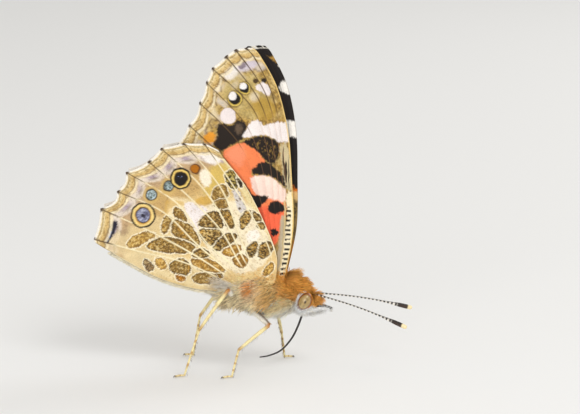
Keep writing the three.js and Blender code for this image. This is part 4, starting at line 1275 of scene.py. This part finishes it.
for sideName, side in (("left", 1), ("right", -1)):
    makeEye(side, f"eye_{sideName}")
    root, tip = np.array(antennaForm["root"]), np.array(antennaForm["tip"])
    bows = [antennaForm["bow"] * math.sin(math.pi * k / 6) for k in range(7)]
    stops = [root + (tip - root) * k / 6 + np.array([0, bow, 0]) for k, bow in enumerate(bows)]
    stops = sided(stops, side)
    tubePiece(f"antenna_{sideName}", stops, antennaForm["radii"], 220, 20, antennaTones, hornFinish,
              antennaForm["flatten"])
    stops = sided(palpForm["stops"], side)
    tubePiece(f"palp_{sideName}", stops, palpForm["radii"], 40, 28, palpTones, furFinish,
              palpForm["flatten"])
    scales = tubeTufts(stops, palpForm["radii"], 1500, (0.02, 0.97), (0, 360), 0.34, 0.06, 0.25, palpTones, 5.5,
                       palpForm["flatten"])
    beard = tubeTufts(stops, palpForm["radii"], 420, (0.0, 0.66), (140, 220), 0.62, 0.05, 0.65, palpTones, 5.5,
                      palpForm["flatten"])
    growAll(f"palp_{sideName}Hairs", [scales, beard], "palp")
    stops = sided(forelegForm["stops"], side)
    tubePiece(f"foreleg_{sideName}", stops, forelegForm["radii"], 30, 18, forelegTones, furFinish)
    brush = tubeTufts(stops, forelegForm["radii"], 1400, (0.0, 0.98), (0, 360), 0.8, 0.07, 0.5,
                      forelegTones, 3.0)
    growAll(f"foreleg_{sideName}Hairs", [brush], "leg")
    for pair in ("midleg", "hindleg"):
        makeLeg(f"{pair}_{sideName}", legForms[f"{pair}_{sideName}"], side)
tubePiece("proboscis", tongueForm["stops"], tongueForm["radii"], 80, 18, tongueTones, hornFinish)
print("body, head and legs made")

# The camera, the floor and the light.
studio = {
    "floorTone": (0.86, 0.85, 0.83, 1), "floorRoughness": 0.9, "floorHalf": 3,
    "backTone": (0.93, 0.93, 0.92, 1), "backStrength": 0.68,
    "lamps": {
        "key": {"place": (-0.35, -0.25, 0.45), "size": 0.25, "power": 1.1},
        "low": {"place": (-0.42, 0.06, 0.1), "size": 0.3, "power": 0.85},
        "fill": {"place": (0.35, -0.3, 0.3), "size": 0.3, "power": 0.6},
    },
}


def setCamera():
    turn, rise = math.radians(view["turn"]), math.radians(view["rise"])
    back = Vector((-math.cos(turn) * math.cos(rise), -math.sin(turn) * math.cos(rise), math.sin(rise)))
    right = Vector((math.sin(turn), -math.cos(turn), 0))
    over = back.cross(right) * -1
    over = over if over.z > 0 else -over
    acrossMm = (view["width"] / 2 - view["floorX"]) / view["pixelsPerMm"]
    upMm = (view["floorY"] - view["height"] / 2) / view["pixelsPerMm"]
    aim = shift + right * acrossMm * mm + over * upMm * mm
    data = bpy.data.cameras.new("photoCamera")
    data.lens = view["lens"]
    distance = view["width"] / view["pixelsPerMm"] * mm / data.sensor_width * data.lens
    data.clip_start, data.clip_end = 0.01, 10
    camera = bpy.data.objects.new("photoCamera", data)
    bpy.context.scene.collection.objects.link(camera)
    camera.location = aim + back * distance
    camera.rotation_euler = (-back).to_track_quat("-Z", "Y").to_euler()
    bpy.context.scene.camera = camera


def areaLight(name, place, size, power):
    data = bpy.data.lights.new(name, "AREA")
    data.size, data.energy = size, power
    lamp = bpy.data.objects.new(name, data)
    lamp.location = place
    lamp.rotation_euler = (Vector((0, 0, 0.02)) - Vector(place)).to_track_quat("-Z", "Y").to_euler()
    bpy.context.scene.collection.objects.link(lamp)


def setStage():
    plain = bmesh.new()
    bmesh.ops.create_grid(plain, x_segments=1, y_segments=1, size=studio["floorHalf"])
    mesh = bpy.data.meshes.new("floor")
    plain.to_mesh(mesh)
    plain.free()
    finish = Finish("paleFloor")
    finish.feed("Base Color", studio["floorTone"])
    finish.feed("Roughness", studio["floorRoughness"])
    mesh.materials.append(finish.material)
    floor = bpy.data.objects.new("floor", mesh)
    bpy.context.scene.collection.objects.link(floor)
    world = bpy.data.worlds.new("studio")
    world.use_nodes = True
    backdrop = world.node_tree.nodes["Background"]
    backdrop.inputs["Color"].default_value = studio["backTone"]
    backdrop.inputs["Strength"].default_value = studio["backStrength"]
    bpy.context.scene.world = world
    for name, lamp in studio["lamps"].items():
        areaLight(name, **lamp)
    bpy.context.scene.view_settings.view_transform = "Standard"


setCamera()
setStage()
